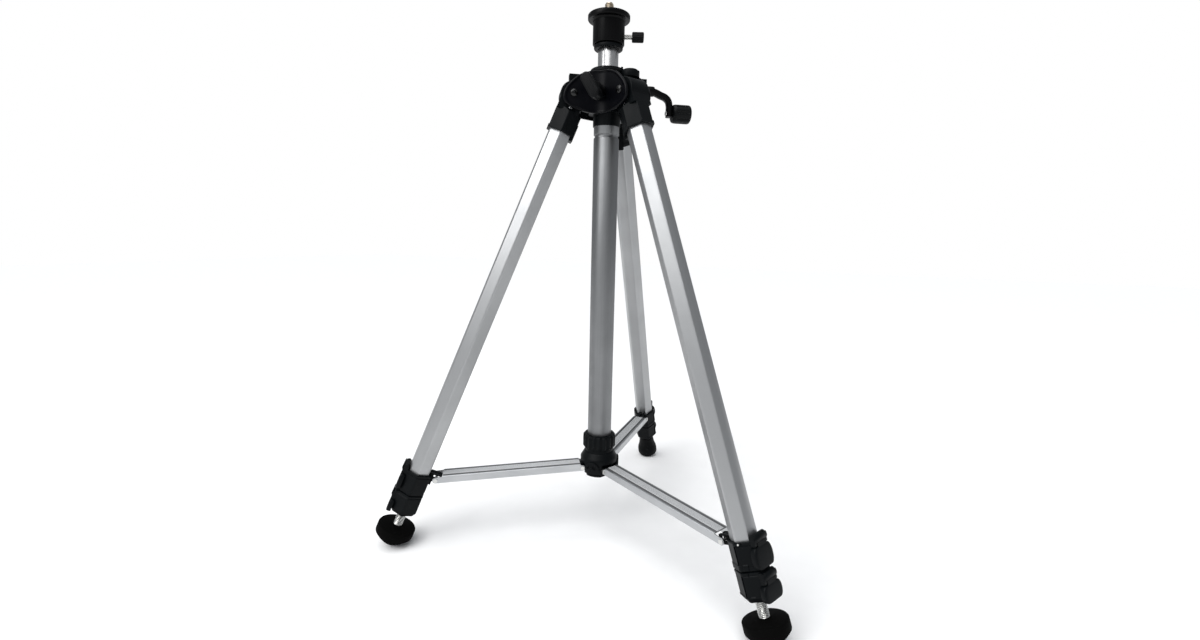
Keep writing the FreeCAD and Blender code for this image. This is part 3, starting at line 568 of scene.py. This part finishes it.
def cover_surface(x):
    """Distance in front of the column and slope of a cover's outer face at a sideways distance."""
    slope = math.tan(math.pi / 6)
    reach = VALLEY_RADIUS * math.sin(math.pi / 6)
    if abs(x) >= reach:
        return COVER_VALLEY + slope * abs(x), math.copysign(slope, x)
    centre = COVER_VALLEY + slope * reach + VALLEY_RADIUS * math.cos(math.pi / 6)
    height = math.sqrt(VALLEY_RADIUS ** 2 - x * x)
    return centre - height, x / height


def cover_plate(side):
    """Glossy folded cover with a rounded bead along its rim."""
    points = COVER_HALF[:-1] + [(-x, z) for x, z in COVER_HALF[:0:-1]]
    outline = through_points(points, 8, closed=True)
    rings = []
    for share, lift in COVER_LEVELS:
        ring = []
        for corner in outline:
            spot = COVER_MIDDLE + (corner - COVER_MIDDLE) * share
            depth, slope = cover_surface(spot.x)
            steep = math.hypot(1, slope)
            ring.append((spot.x - lift * slope / steep, depth + lift / steep, spot.y))
        rings.append(ring)
    node = "cover_" + side
    return make_piece(node + "_shell", [skin(rings)], about_axis(COVER_AZIMUTHS[side]), "crown",
                      "gloss_cover", (node,), sharp=50)


def covers():
    """Three cover plates, cut out for the crank's bearing beam, its stop and the round level."""
    by_crank = about_axis(CRANK_AZIMUTH)
    by_level = about_axis(LEVEL["azimuth"])
    beam = block(-21.8, -12.3, -41, 48, 510.7, 532.3)
    stop = block(-20.3, -12.3, -39, -23.6, 493.6, 513)
    low, high = 523.8, 540
    level_arm = block(-6.2, 6.2, 10, LEVEL["reach"], low, high)
    turns = [math.tau * i / 48 for i in range(48)]
    round_room = [(10.2 * math.cos(a), LEVEL["reach"] + 10.2 * math.sin(a)) for a in turns]
    level_room = skin([[(x, y, z) for x, y in round_room] for z in (low, high)])
    cover_plate("front")
    crank_side = cover_plate("crank_side")
    carve(crank_side, by_crank, [beam])
    carve(crank_side, by_level, [level_arm])
    carve(crank_side, by_level, [level_room])
    rear = cover_plate("rear")
    carve(rear, by_crank, [beam])
    carve(rear, by_crank, [stop])


def crown_casting():
    """The crown's own surface, with the level's cup trimmed down round the low level."""
    source = NODES["crown_body"]
    mesh = source.data.copy()
    mesh.transform(source.matrix_world)
    mesh.materials.clear()
    mesh.materials.append(MATERIALS["black_plastic"])
    piece = placed("crown_casting", mesh)
    work = bmesh.new()
    work.from_mesh(mesh)
    bmesh.ops.remove_doubles(work, verts=work.verts[:], dist=0.002 * MM)
    work.to_mesh(mesh)
    work.free()
    outline = []
    for index in range(72):
        angle = math.tau * index / 72
        spot = Vector((LEVEL["cup"] * math.cos(angle), LEVEL["reach"] + LEVEL["cup"] * math.sin(angle)))
        if spot.length < LEVEL["collar"]:
            spot = spot.normalized() * LEVEL["collar"]
        outline.append(spot)
    walls = [[(spot.x, spot.y, z) for spot in outline] for z in (LEVEL["rim"], LEVEL["rim"] + 8)]
    carve(piece, about_axis(LEVEL["azimuth"]), [skin(walls)])
    round_edges(piece, CAD_ROUNDING, 2, 32)
    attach(piece, "crown")
    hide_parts("crown_body")


def bubble_level():
    """Clear domed vial in a low black ring."""
    top = LEVEL["top"]
    middle = about_axis(LEVEL["azimuth"]) @ Matrix.Translation((0, LEVEL["reach"] * MM, 0))
    dome = [(TINY, top - 4.6), (5.4, top - 4.6), (5.4, top - 1.2), (5.1, top - 0.8), (4.2, top - 0.4),
            (2.6, top - 0.12), (1.0, top), (TINY, top)]
    make_piece("level_vial", [skin(spun(dome, 64))], middle, "crown", "vial", ("bubble_level",))
    ring = [(7.9, top - 4.0), (7.9, top - 1.3), (7.5, top - 0.7), (6.8, top - 0.5), (5.9, top - 0.7),
            (5.5, top - 1.1), (5.5, top - 4.0)]
    rings = spun(ring, 72)
    around = skin(rings + [list(rings[0])], capped=False)
    make_piece("level_ring", [around], middle, "crown", "black_plastic")


def wing_rim(count, straight, width):
    """Points round an oblong, with the way out and the depth of the rib there."""
    around = 4 * straight + math.tau * width
    rim = []
    for index in range(count):
        run = around * index / count
        if run < 2 * straight:
            spot, out = Vector((width, -straight + run)), Vector((1, 0))
        elif run < 2 * straight + math.pi * width:
            turn = (run - 2 * straight) / width
            out = Vector((math.cos(turn), math.sin(turn)))
            spot = Vector((0, straight)) + out * width
        elif run < 4 * straight + math.pi * width:
            gone = run - 2 * straight - math.pi * width
            spot, out = Vector((-width, straight - gone)), Vector((-1, 0))
        else:
            turn = math.pi + (run - 4 * straight - math.pi * width) / width
            out = Vector((math.cos(turn), math.sin(turn)))
            spot = Vector((0, -straight)) + out * width
        rim.append((spot, out, 0.28 * (1 - abs(math.cos(math.tau * 15 * index / count)))))
    return rim


def lock_knob():
    """Oblong wing with ribbed flanks and lengthwise ribs, on a round hub."""
    hub = [(TINY, 11.4), (3.0, 11.4), (3.0, 24.6), (6.4, 24.8), (7.0, 25.2), (7.5, 26.4), (7.5, 37.5),
           (7.1, 40), (6.6, 43), (TINY, 43)]
    shells = [skin(spun(hub, 64))]
    turned = Matrix.Rotation(math.radians(32), 4, "Z")
    straight = 8.2
    rim = wing_rim(140, straight, 5.8)
    rings = []
    for inset, height, ribbed in ((2.4, 41, 0), (0.9, 41.3, 0), (0.25, 42.2, 0.6), (0, 43.6, 1), (0, 52, 1),
                                  (0.2, 53.4, 0.7), (0.8, 54.3, 0.2), (1.7, 54.6, 0)):
        ring = []
        for spot, out, rib in rim:
            edge = spot - out * (inset + rib * ribbed)
            ring.append(tuple(turned @ Vector((edge.x, edge.y, height))))
        rings.append(ring)
    shells.append(skin(rings))
    for x in (-3, -1.5, 0, 1.5, 3):
        reach = straight + math.sqrt(max(0.0, 3.9 ** 2 - x * x))
        bar = block(x - 0.4, x + 0.4, -reach, reach, 54.2, 55)
        shells.append(([tuple(turned @ Vector(p)) for p in bar[0]], bar[1]))
    make_piece("lock_wing", shells, pointing_out(180, LOCK_Z), "lock_knob", "knob_plastic", ("lock_knob",),
               bevel=0.18, sharp=40)


# --- hub and braces -------------------------------------------------------------------
def hub_nut():
    """Gripping nut with pointed scallops and a plain rim."""
    def scallops(angle, radius, height):
        if radius < 18.2:
            return radius
        return radius - 1.5 * abs(math.cos(9 * angle)) ** 1.8
    rows = [(14.4, 107.5), (17.2, 107.5), (18.1, 107.8), (19.0, 108.9), (19.5, 110), (19.5, 115),
            (19.5, 121), (19.2, 122.2), (18.3, 123.2), (17.6, 123.8), (16.8, 124), (14.5, 124),
            (14.35, 123.6), (14.35, 119), (16.15, 118.9), (16.15, 107.9)]
    make_piece("hub_grip", [skin(spun(rows, 216, scallops), capped=False)], about_axis(0), "hub_ring",
               "black_plastic", ("hub_nut",))


def hub_arches():
    """Arched ridge with a half-round pad inside it, on the hub between each two braces."""
    inside = 20.6
    foot = 84.6
    shells = []
    for azimuth in (60, 180, 300):
        turn = about_axis(azimuth).to_3x3()
        for low, high, outside in ((7.0, 9.2, 24.0), (0.0, 3.0, 23.4)):
            rings = []
            for step in range(25):
                sweep = math.pi * step / 24
                ring = []
                for radius, reach in ((low, inside), (high, inside), (high, outside), (low, outside)):
                    bend = radius * math.cos(sweep) / reach
                    height = foot + 1.1 * radius * math.sin(sweep)
                    ring.append(turn @ Vector((reach * math.sin(bend), reach * math.cos(bend), height)))
                rings.append([tuple(spot) for spot in ring])
            shells.append(skin(rings))
    make_piece("hub_arches", shells, Matrix.Translation(AXIS), "hub", "black_plastic", bevel=0.25)


def brace_outline():
    """Section of a brace: grooved strips along both edges of its top, ribs between, and bent-down lips."""
    strip = [(-9.9, 4.3), (-9.5, 4.85), (-8.5, 5), (-8.1, 4.95)]
    for x in (-7.9, -7.0, -6.1):
        strip += [(x, 4.4), (x + 0.4, 4.4), (x + 0.5, 4.7), (x + 0.8, 4.7)]
    strip += [(-5.2, 4.4)]
    ribs = [(-4.95, 4.95)]
    for index in range(6):
        x = -4.85 + 1.71 * index
        ribs += [(x, 5.0), (x + 1.0, 5.0), (x + 1.1, 4.55), (x + 1.6, 4.55)]
    ribs = ribs[:-2] + [(4.95, 4.95)]
    under = [(9.9, 3.0), (8.7, 2.6), (8.7, 3.7), (-8.7, 3.7), (-8.7, 2.6), (-9.9, 3.0)]
    return strip + ribs + [(-x, z) for x, z in reversed(strip)] + under


def brace_wall(side, length):
    """Side wall of a brace with round ends about its two rivets."""
    end = 3.3
    wall = []
    for x in (side * 8.7, side * 10.0):
        ring = []
        for step in range(17):
            turn = math.pi / 2 + math.pi * step / 16
            ring.append((x, end * math.cos(turn), end * math.sin(turn)))
        for step in range(17):
            turn = -math.pi / 2 + math.pi * step / 16
            ring.append((x, length + end * math.cos(turn), end * math.sin(turn)))
        ring += [(x, length - 6, 3.6), (x, length - 9, 4.4), (x, 5, 4.4), (x, 2.4, 3.8)]
        wall.append(ring)
    return skin(wall)


def brace(name):
    """Inverted channel with a ribbed top, in three materials: the channel, dark edge strips that also paint
    shade into the valleys between the ribs, and a painted highlight on the rib tops.
    """
    along = LUG_PIN - HUB_PIN
    length = along.length
    fall = math.atan2(-along.z, along.y)
    place = about_axis(LEGS[name]) @ Matrix.Translation(HUB_PIN * MM) @ Matrix.Rotation(-fall, 4, "X")
    shells = [skin([[(x, y, z) for x, z in brace_outline()] for y in (2.4, length - 8)])]
    shells += [brace_wall(side, length) for side in (-1, 1)]
    piece = make_piece(name + "_brace_channel", shells, place, name + "_brace", "brace_aluminium",
                       (name + "_brace",), bevel=0.12, sharp=30)
    piece.data.materials.append(MATERIALS["brace_strip"])
    piece.data.materials.append(MATERIALS["brace_ribs"])
    # material 1 darkens the edge strips and is painted shade in the rib valleys; material 2 is a painted
    # highlight on the rib tops
    strip, rib = 1, 2
    turned_in = place.inverted()
    for face in piece.data.polygons:
        spot = turned_in @ face.center / MM
        facing_up = (turned_in.to_3x3() @ face.normal).z
        if 5.0 < abs(spot.x) < 8.05 and facing_up > -0.2 and spot.z > 4.3:
            face.material_index = strip
        # rib tops take the painted highlight, the valleys between them the painted shade
        elif abs(spot.x) < 4.98 and facing_up > 0.5 and spot.z > 4.3:
            face.material_index = rib if spot.z > 4.8 else strip


# --- legs -----------------------------------------------------------------------------
def leg_rings(outline, stations):
    """A leg section repeated at distances down the leg."""
    return [[(p.x, p.y, -down) for p in outline] for down in stations]


def upper_tube(name):
    """Drawn hexagonal tube whose outward face is slightly crowned."""
    outer = rounded_hexagon(23.0, 2.0, 9, bulge=0.9)
    inner = rounded_hexagon(20.6, 1.2, 9)
    stations = [15.2 + 22.8 * i for i in range(21)]
    rings = leg_rings(outer, stations) + leg_rings(inner, stations[::-1])
    make_piece(name + "_leg_outer_tube", [skin(rings, capped=False)], leg_frame(name), name + "_leg",
               "leg_aluminium", (name + "_leg_upper_tube",), sharp=25, material="leg_aluminium_" + name)


def smooth_step(value, low, high):
    """0 below low, 1 above high, and an S curve between them."""
    share = min(1.0, max(0.0, (value - low) / (high - low)))
    return share * share * (3 - 2 * share)


def window(value, low, high, edge):
    """1 between low and high, with soft edges."""
    return smooth_step(value, low - edge, low) * (1 - smooth_step(value, high, high + edge))


def clamp_relief(down, top, end, spot):
    """Growth of a clamp's wall: rims, a wrapped panel, the split on one side, and a bridging band."""
    turn = math.degrees(math.atan2(abs(spot.x), spot.y))
    panel_end = 88 if spot.x > 0 else 150
    grow = -0.15
    grow += 0.35 * window(down, top + 0.2, top + 2.4, 0.25)
    grow += 0.6 * window(turn, 34, panel_end, 1.0) * window(down, top + 3.4, end - 5.4, 0.35)
    if spot.x > 0:
        grow -= 1.9 * window(turn, 89.5, 95.5, 0.8) * window(down, top + 3.2, end - 6.2, 0.5)
        grow += 0.5 * window(turn, 60, 180, 1.0) * window(down, end - 5.4, end - 0.8, 0.35)
        grow += 0.45 * window(turn, 60, 77, 0.8) * window(down, end - 6.0, end - 0.9, 0.3)
        grow -= 0.7 * window(turn, 66, 67.6, 0.5) * window(down, top + 0.4, top + 3.6, 0.2)
    return grow


def clamp_body(top, end, bore, low_bore, taper):
    """Clamp housing with moulded relief, bored for the two tubes that meet in it."""
    outline = rounded_hexagon(CLAMP_AF, 3.4, 34, corner_steps=10)
    rows = 74
    rings = []
    for index in range(rows + 1):
        down = top + (end - top) * index / rows
        left = end - down
        close = -0.45 * (1 - smooth_step(down - top, 0, 0.5)) - 0.45 * (1 - smooth_step(left, 0, 0.5))
        tapered = taper and left < taper
        if tapered:
            close -= 0.62 * (taper - left)
        ring = []
        for p in outline:
            grow = 0.0 if tapered else clamp_relief(down, top, end, p)
            spot = p + p.normalized() * (grow + close)
            ring.append((spot.x, spot.y, -down))
        rings.append(ring)
    for across, down in ((low_bore, end), (low_bore, end - 12), (bore, end - 12.5), (bore, top)):
        rings += leg_rings(rounded_hexagon(across, 1.4, 34, corner_steps=10), [down])
    return skin(rings, capped=False)


def ear_pair(pivot):
    """Rounded ears that carry a lever's pins."""
    radius = 2.8
    low = pivot + 6.6
    shells = []
    for side in (-1, 1):
        walls = []
        for x in (side * 6.45, side * 9.2):
            ring = []
            for step in range(13):
                turn = math.pi * step / 12
                ring.append((x, LEVER_OUT + radius * math.cos(turn), -pivot + radius * math.sin(turn) + 0.6))
            ring += [(x, 12.3, -pivot - 3.5), (x, 12.3, -low), (x, 17.4, -low), (x, 18.0, -low + 1.2)]
            walls.append(ring)
        shells.append(skin(walls))
    return shells


def across_leg(rings):
    """Turn rings built about Z to lie across the leg."""
    return [[(z, x, y) for x, y, z in ring] for ring in rings]


def shifted(shell, y, z):
    """A shell moved in the leg's frame."""
    return [(px, py + y, pz + z) for px, py, pz in shell[0]], shell[1]


def rim_rivet(name):
    """Small bright rivet head on the rim of the upper clamp."""
    turn = math.radians(77)
    out = Vector((math.sin(turn), math.cos(turn), 0.0))
    place = leg_frame(name) @ Matrix.Translation((out * 15.1 - Vector((0, 0, 455.0))) * MM)
    place = place @ out.to_track_quat("Z", "Y").to_matrix().to_4x4()
    rows = [(TINY, -0.6), (0.95, -0.6), (0.95, 0.15), (0.75, 0.4), (0.35, 0.52), (TINY, 0.55)]
    make_piece(name + "_clamp_rivet", [skin(spun(rows, 28))], place, name + "_leg", "steel")


def lug_shells():
    """Cheeks, slot walls and floor that hold the brace's outer rivet."""
    across = LUG_PIN.y - LEG_TOP_RADIUS
    up = LUG_PIN.z - LEG_TOP_Z
    lug_y = across * math.cos(LEG_TILT) + up * math.sin(LEG_TILT)
    lug_z = up * math.cos(LEG_TILT) - across * math.sin(LEG_TILT)
    inner, outer = 1.2, 4.8
    root = -12.0
    shells = []
    for x0, x1 in ((-outer, -inner), (inner, outer)):
        shells += [
            block(x0, x1, lug_y - 5.4, lug_y - 4.05, lug_z - 4.0, lug_z + 4.7),
            block(x0, x1, lug_y - 5.2, root, lug_z + 3.65, lug_z + 5.0),
            block(x0, x1, lug_y - 5.2, root, lug_z - 4.3, lug_z - 2.9),
            block(x0, x1, lug_y + 3.65, root, lug_z - 4.2, lug_z + 4.9),
        ]
    shells.append(block(-outer, outer, -16.5, -12.6, lug_z - 9, lug_z - 4.2))
    return shells


def clamps(name):
    """Both clamp housings of a leg; the upper one also carries the brace's lug and a rivet."""
    for part, body in (("upper", name + "_leg"), ("lower", name + "_middle")):
        sizes = CLAMPS[part]
        housing = clamp_body(sizes["top"], sizes["end"], sizes["bore"], sizes["low_bore"], sizes["taper"])
        shells = [housing] + ear_pair(sizes["pivot"])
        if part == "upper":
            shells += lug_shells()
        node = f"{name}_leg_{part}_clamp"
        make_piece(node + "_shell", shells, leg_frame(name), body, "black_plastic", (node,), sharp=40)
    rim_rivet(name)


def lever_section(share):
    """Outline of a lever across the leg; share runs from -1 at the tip to 1 at the hinge."""
    round_off = math.sqrt(max(1 - share * share, 0.0))
    half = LEVER_HALF + 3.8 * round_off
    outer = 18.2 + 0.5 * round_off
    skirt = min(max(30.2 - 1.732 * (half - 1.3), 13.2), 14.9)
    side = [(half - 1.3, 14.95), (half - 1.3, skirt), (half - 0.2, skirt), (half, skirt + 0.3),
            (half, outer - 1.5), (half - 0.3, outer - 0.8), (half - 0.9, outer - 0.35),
            (half - 1.9, outer - 0.1), (half - 4.2, outer)]
    return side + [(-x, y) for x, y in reversed(side)]


def lever_hood(pivot):
    """Curved cover over the ears, turning about the lever's pins."""
    section = ((-9.3, 3.5), (-9.3, 3.9), (-8.7, 4.4), (8.7, 4.4), (9.3, 3.9), (9.3, 3.5))
    rings = []
    for step in range(17):
        turn = math.radians(-76 + 114 * step / 16)
        out = Vector((math.cos(turn), math.sin(turn)))
        rings.append([(x, LEVER_OUT + out.x * radius, -pivot + out.y * radius) for x, radius in section])
    return skin(rings)


def lever(name, part):
    """Flip lever: one smooth bulge whose flanks wrap round the clamp, on a hinge barrel."""
    pivot = CLAMPS[part]["pivot"]
    low = -CLAMPS[part]["tip"]
    high = -(pivot + LEVER_ABOVE)
    middle = (low + high) / 2
    reach = (high - low) / 2
    inside = 5.95               # half the room between the ears
    rings = []
    for step in range(29):
        share = -math.cos(math.pi * step / 28)
        rings.append([(x, y, middle + reach * share) for x, y in lever_section(share)])
    web = [(15.3, -pivot - 4.2), (18.4, -pivot - 3.4), (18.3, -pivot - 8), (15.3, -pivot - 8)]
    barrel = [(TINY, -inside), (2.9, -inside), (3.25, -5.6), (3.25, 5.6), (2.9, inside), (TINY, inside)]
    pin = [(TINY, -9.3), (1.55, -9.3), (1.55, 9.3), (TINY, 9.3)]
    shells = [skin(rings), lever_hood(pivot), skin([[(x, y, z) for y, z in web] for x in (-inside, inside)])]
    shells.append(shifted(skin(across_leg(spun(barrel, 40))), LEVER_OUT, -pivot))
    shells.append(shifted(skin(across_leg(spun(pin, 24))), LEVER_OUT, -pivot))
    shells.append(block(-inside, inside, 15.3, 17.8, -pivot - 8, -pivot - 0.4))
    node = f"{name}_leg_{part}_lever"
    make_piece(f"{name}_{part}_lever_plate", shells, leg_frame(name), node, "black_plastic", (node,),
               sharp=44)


# --- feet -----------------------------------------------------------------------------
def foot_screw(name):
    """Levelling screw with a fine thread."""
    core = 4.35
    depth = 0.65
    pitch = 1.5
    rows = [(TINY, -530.4)] + screw_rows(5.0, -530.2, -490.2, 0.22) + [(TINY, -490)]
    screw = skin(spun(rows, 56, thread(core, depth, pitch, -531, -490)))
    make_piece(name + "_foot_thread", [screw], leg_frame(name), name + "_foot_screw", "steel",
               (name + "_foot_spindle",))


def foot_pad(name):
    """Stepped rubber dome; each step has a ring of small teeth."""
    def teeth(angle, radius, height):
        if radius < 9.6 or height > -534.3:
            return radius
        return radius - 0.35 * (0.5 + 0.5 * math.cos(48 * angle))
    rim = PAD_RADIUS
    rows = [(TINY, -523.6), (5.1, -523.4), (5.1, -522.4), (5.6, -522.2), (7.0, -522.6), (13.5, -523.6),
            (20.2, -524.4), (20.9, -524.7), (rim, -525.3), (rim, -533.4), (21.0, -533.9)]
    for index in range(1, PAD_STEPS + 1):
        share = index / PAD_STEPS
        before = (index - 1) / PAD_STEPS
        radius = rim - 11.5 * share ** 1.2
        wider = rim - 11.5 * before ** 1.2
        drop = -534.0 - 10.8 * before
        rows += [(wider - 0.2, drop - 0.15), (radius + 0.25, drop - 0.35), (radius + 0.05, drop - 0.6),
                 (radius, drop - 1.35), (radius - 0.15, drop - 1.75)]
    rows += [(9.3, -544.8), (TINY, -544.8)]
    make_piece(name + "_foot_dome", [skin(spun(rows, 192, teeth))], leg_frame(name), name + "_foot",
               "pad_rubber", (name + "_foot_pad",))


mounting_stud()
thumb_screw()
crank_arm()
crank_grip()
covers()
crown_casting()
bubble_level()
lock_knob()
hub_nut()
hub_arches()
for leg_name in LEGS:
    brace(leg_name)
    upper_tube(leg_name)
    clamps(leg_name)
    lever(leg_name, "upper")
    lever(leg_name, "lower")
for leg_name in ("right", "left"):
    foot_screw(leg_name)
    foot_pad(leg_name)


# --- stage ----------------------------------------------------------------------------
MIDDLE_HEIGHT = 0.32            # metres, as are all lengths below
CAMERA_DISTANCE = 0.600
CAMERA_HEIGHT = 0.357
CAMERA_AZIMUTH = 160.38
CAMERA_PITCH = math.radians(9.09)
CAMERA_YAW = math.radians(-0.22)
CAMERA_ROLL = math.radians(1.32)
CAMERA_LENS = 15.67             # millimetres


def make_floor():
    """Pale matte floor, wide enough to reach the horizon."""
    half = 6.0
    mesh = bpy.data.meshes.new("floor")
    corners = [(-half, -half, 0), (half, -half, 0), (half, half, 0), (-half, half, 0)]
    mesh.from_pydata([Vector(c) for c in corners], [], [(0, 1, 2, 3)])
    floor = placed("floor", mesh)
    made, tree, shader, coords = start_material("pale_floor", 0.0, 0.2)
    speck = grain(tree, coords, 30.0, 3.0)
    link(tree, mixed(tree, ranged(tree, speck, 0.0, 1.0), (0.94, 0.94, 0.94), (0.97, 0.97, 0.97)),
         shader.inputs["Base Color"])
    shader.inputs["Roughness"].default_value = 0.8
    mesh.materials.append(made)


def make_light(name, azimuth, distance, height, size, power):
    """Square soft light at an azimuth round the column, aimed at the middle of the tripod."""
    lamp = bpy.data.lights.new(name, "AREA")
    lamp.shape = "SQUARE"
    lamp.size = size
    lamp.energy = power
    holder = placed(name, lamp)
    angle = math.radians(azimuth)
    place = AXIS + Vector((distance * math.sin(angle), distance * math.cos(angle), height))
    aim = AXIS + Vector((0, 0, MIDDLE_HEIGHT)) - place
    holder.location = place
    holder.rotation_euler = aim.to_track_quat("-Z", "Y").to_euler()


def make_sun(name, azimuth, elevation, spread, strength):
    """Very soft distant light from an azimuth and elevation, in degrees."""
    lamp = bpy.data.lights.new(name, "SUN")
    lamp.angle = math.radians(spread)
    lamp.energy = strength
    holder = placed(name, lamp)
    angle = math.radians(azimuth)
    rise = math.radians(elevation)
    level = math.cos(rise)
    toward = Vector((math.sin(angle) * level, math.cos(angle) * level, math.sin(rise)))
    holder.rotation_euler = (-toward).to_track_quat("-Z", "Y").to_euler()


def make_world():
    """Soft cool fill light, with a white backdrop where the camera looks past the floor."""
    world = bpy.data.worlds.new("studio")
    world.use_nodes = True
    tree = world.node_tree
    lighting = tree.nodes["Background"]
    lighting.inputs["Color"].default_value = (0.93, 0.96, 1.0, 1.0)
    lighting.inputs["Strength"].default_value = 0.40
    backdrop = add(tree, "ShaderNodeBackground")
    backdrop.inputs["Color"].default_value = (1.0, 1.0, 1.0, 1.0)
    backdrop.inputs["Strength"].default_value = 1.0
    rays = add(tree, "ShaderNodeLightPath")
    pick = add(tree, "ShaderNodeMixShader")
    link(tree, rays.outputs["Is Camera Ray"], pick.inputs["Fac"])
    link(tree, lighting.outputs["Background"], pick.inputs[1])
    link(tree, backdrop.outputs["Background"], pick.inputs[2])
    link(tree, pick.outputs["Shader"], tree.nodes["World Output"].inputs["Surface"])
    bpy.context.scene.world = world


def make_camera():
    """Camera in front of the stand, looking slightly down, with a small roll."""
    lens = bpy.data.cameras.new("camera")
    lens.sensor_fit = "HORIZONTAL"
    lens.sensor_width = 36.0
    lens.lens = CAMERA_LENS
    lens.clip_start = 0.01
    camera = placed("camera", lens)
    station = about_axis(CAMERA_AZIMUTH + 180.0) @ Matrix.Translation((0, -CAMERA_DISTANCE, CAMERA_HEIGHT))
    look = Matrix.Rotation(-CAMERA_YAW, 4, "Z") @ Matrix.Rotation(math.pi / 2 - CAMERA_PITCH, 4, "X")
    roll = Matrix.Rotation(CAMERA_ROLL, 4, "Z")
    camera.matrix_world = station @ look @ roll
    bpy.context.scene.camera = camera


make_floor()
make_world()
make_light("key", azimuth=212.0, distance=1.5, height=1.25, size=0.9, power=9.0)
make_sun("sky", azimuth=200.0, elevation=62.0, spread=70.0, strength=2.5)
bpy.context.scene.view_settings.view_transform = "Standard"
make_camera()

bpy.context.view_layer.update()
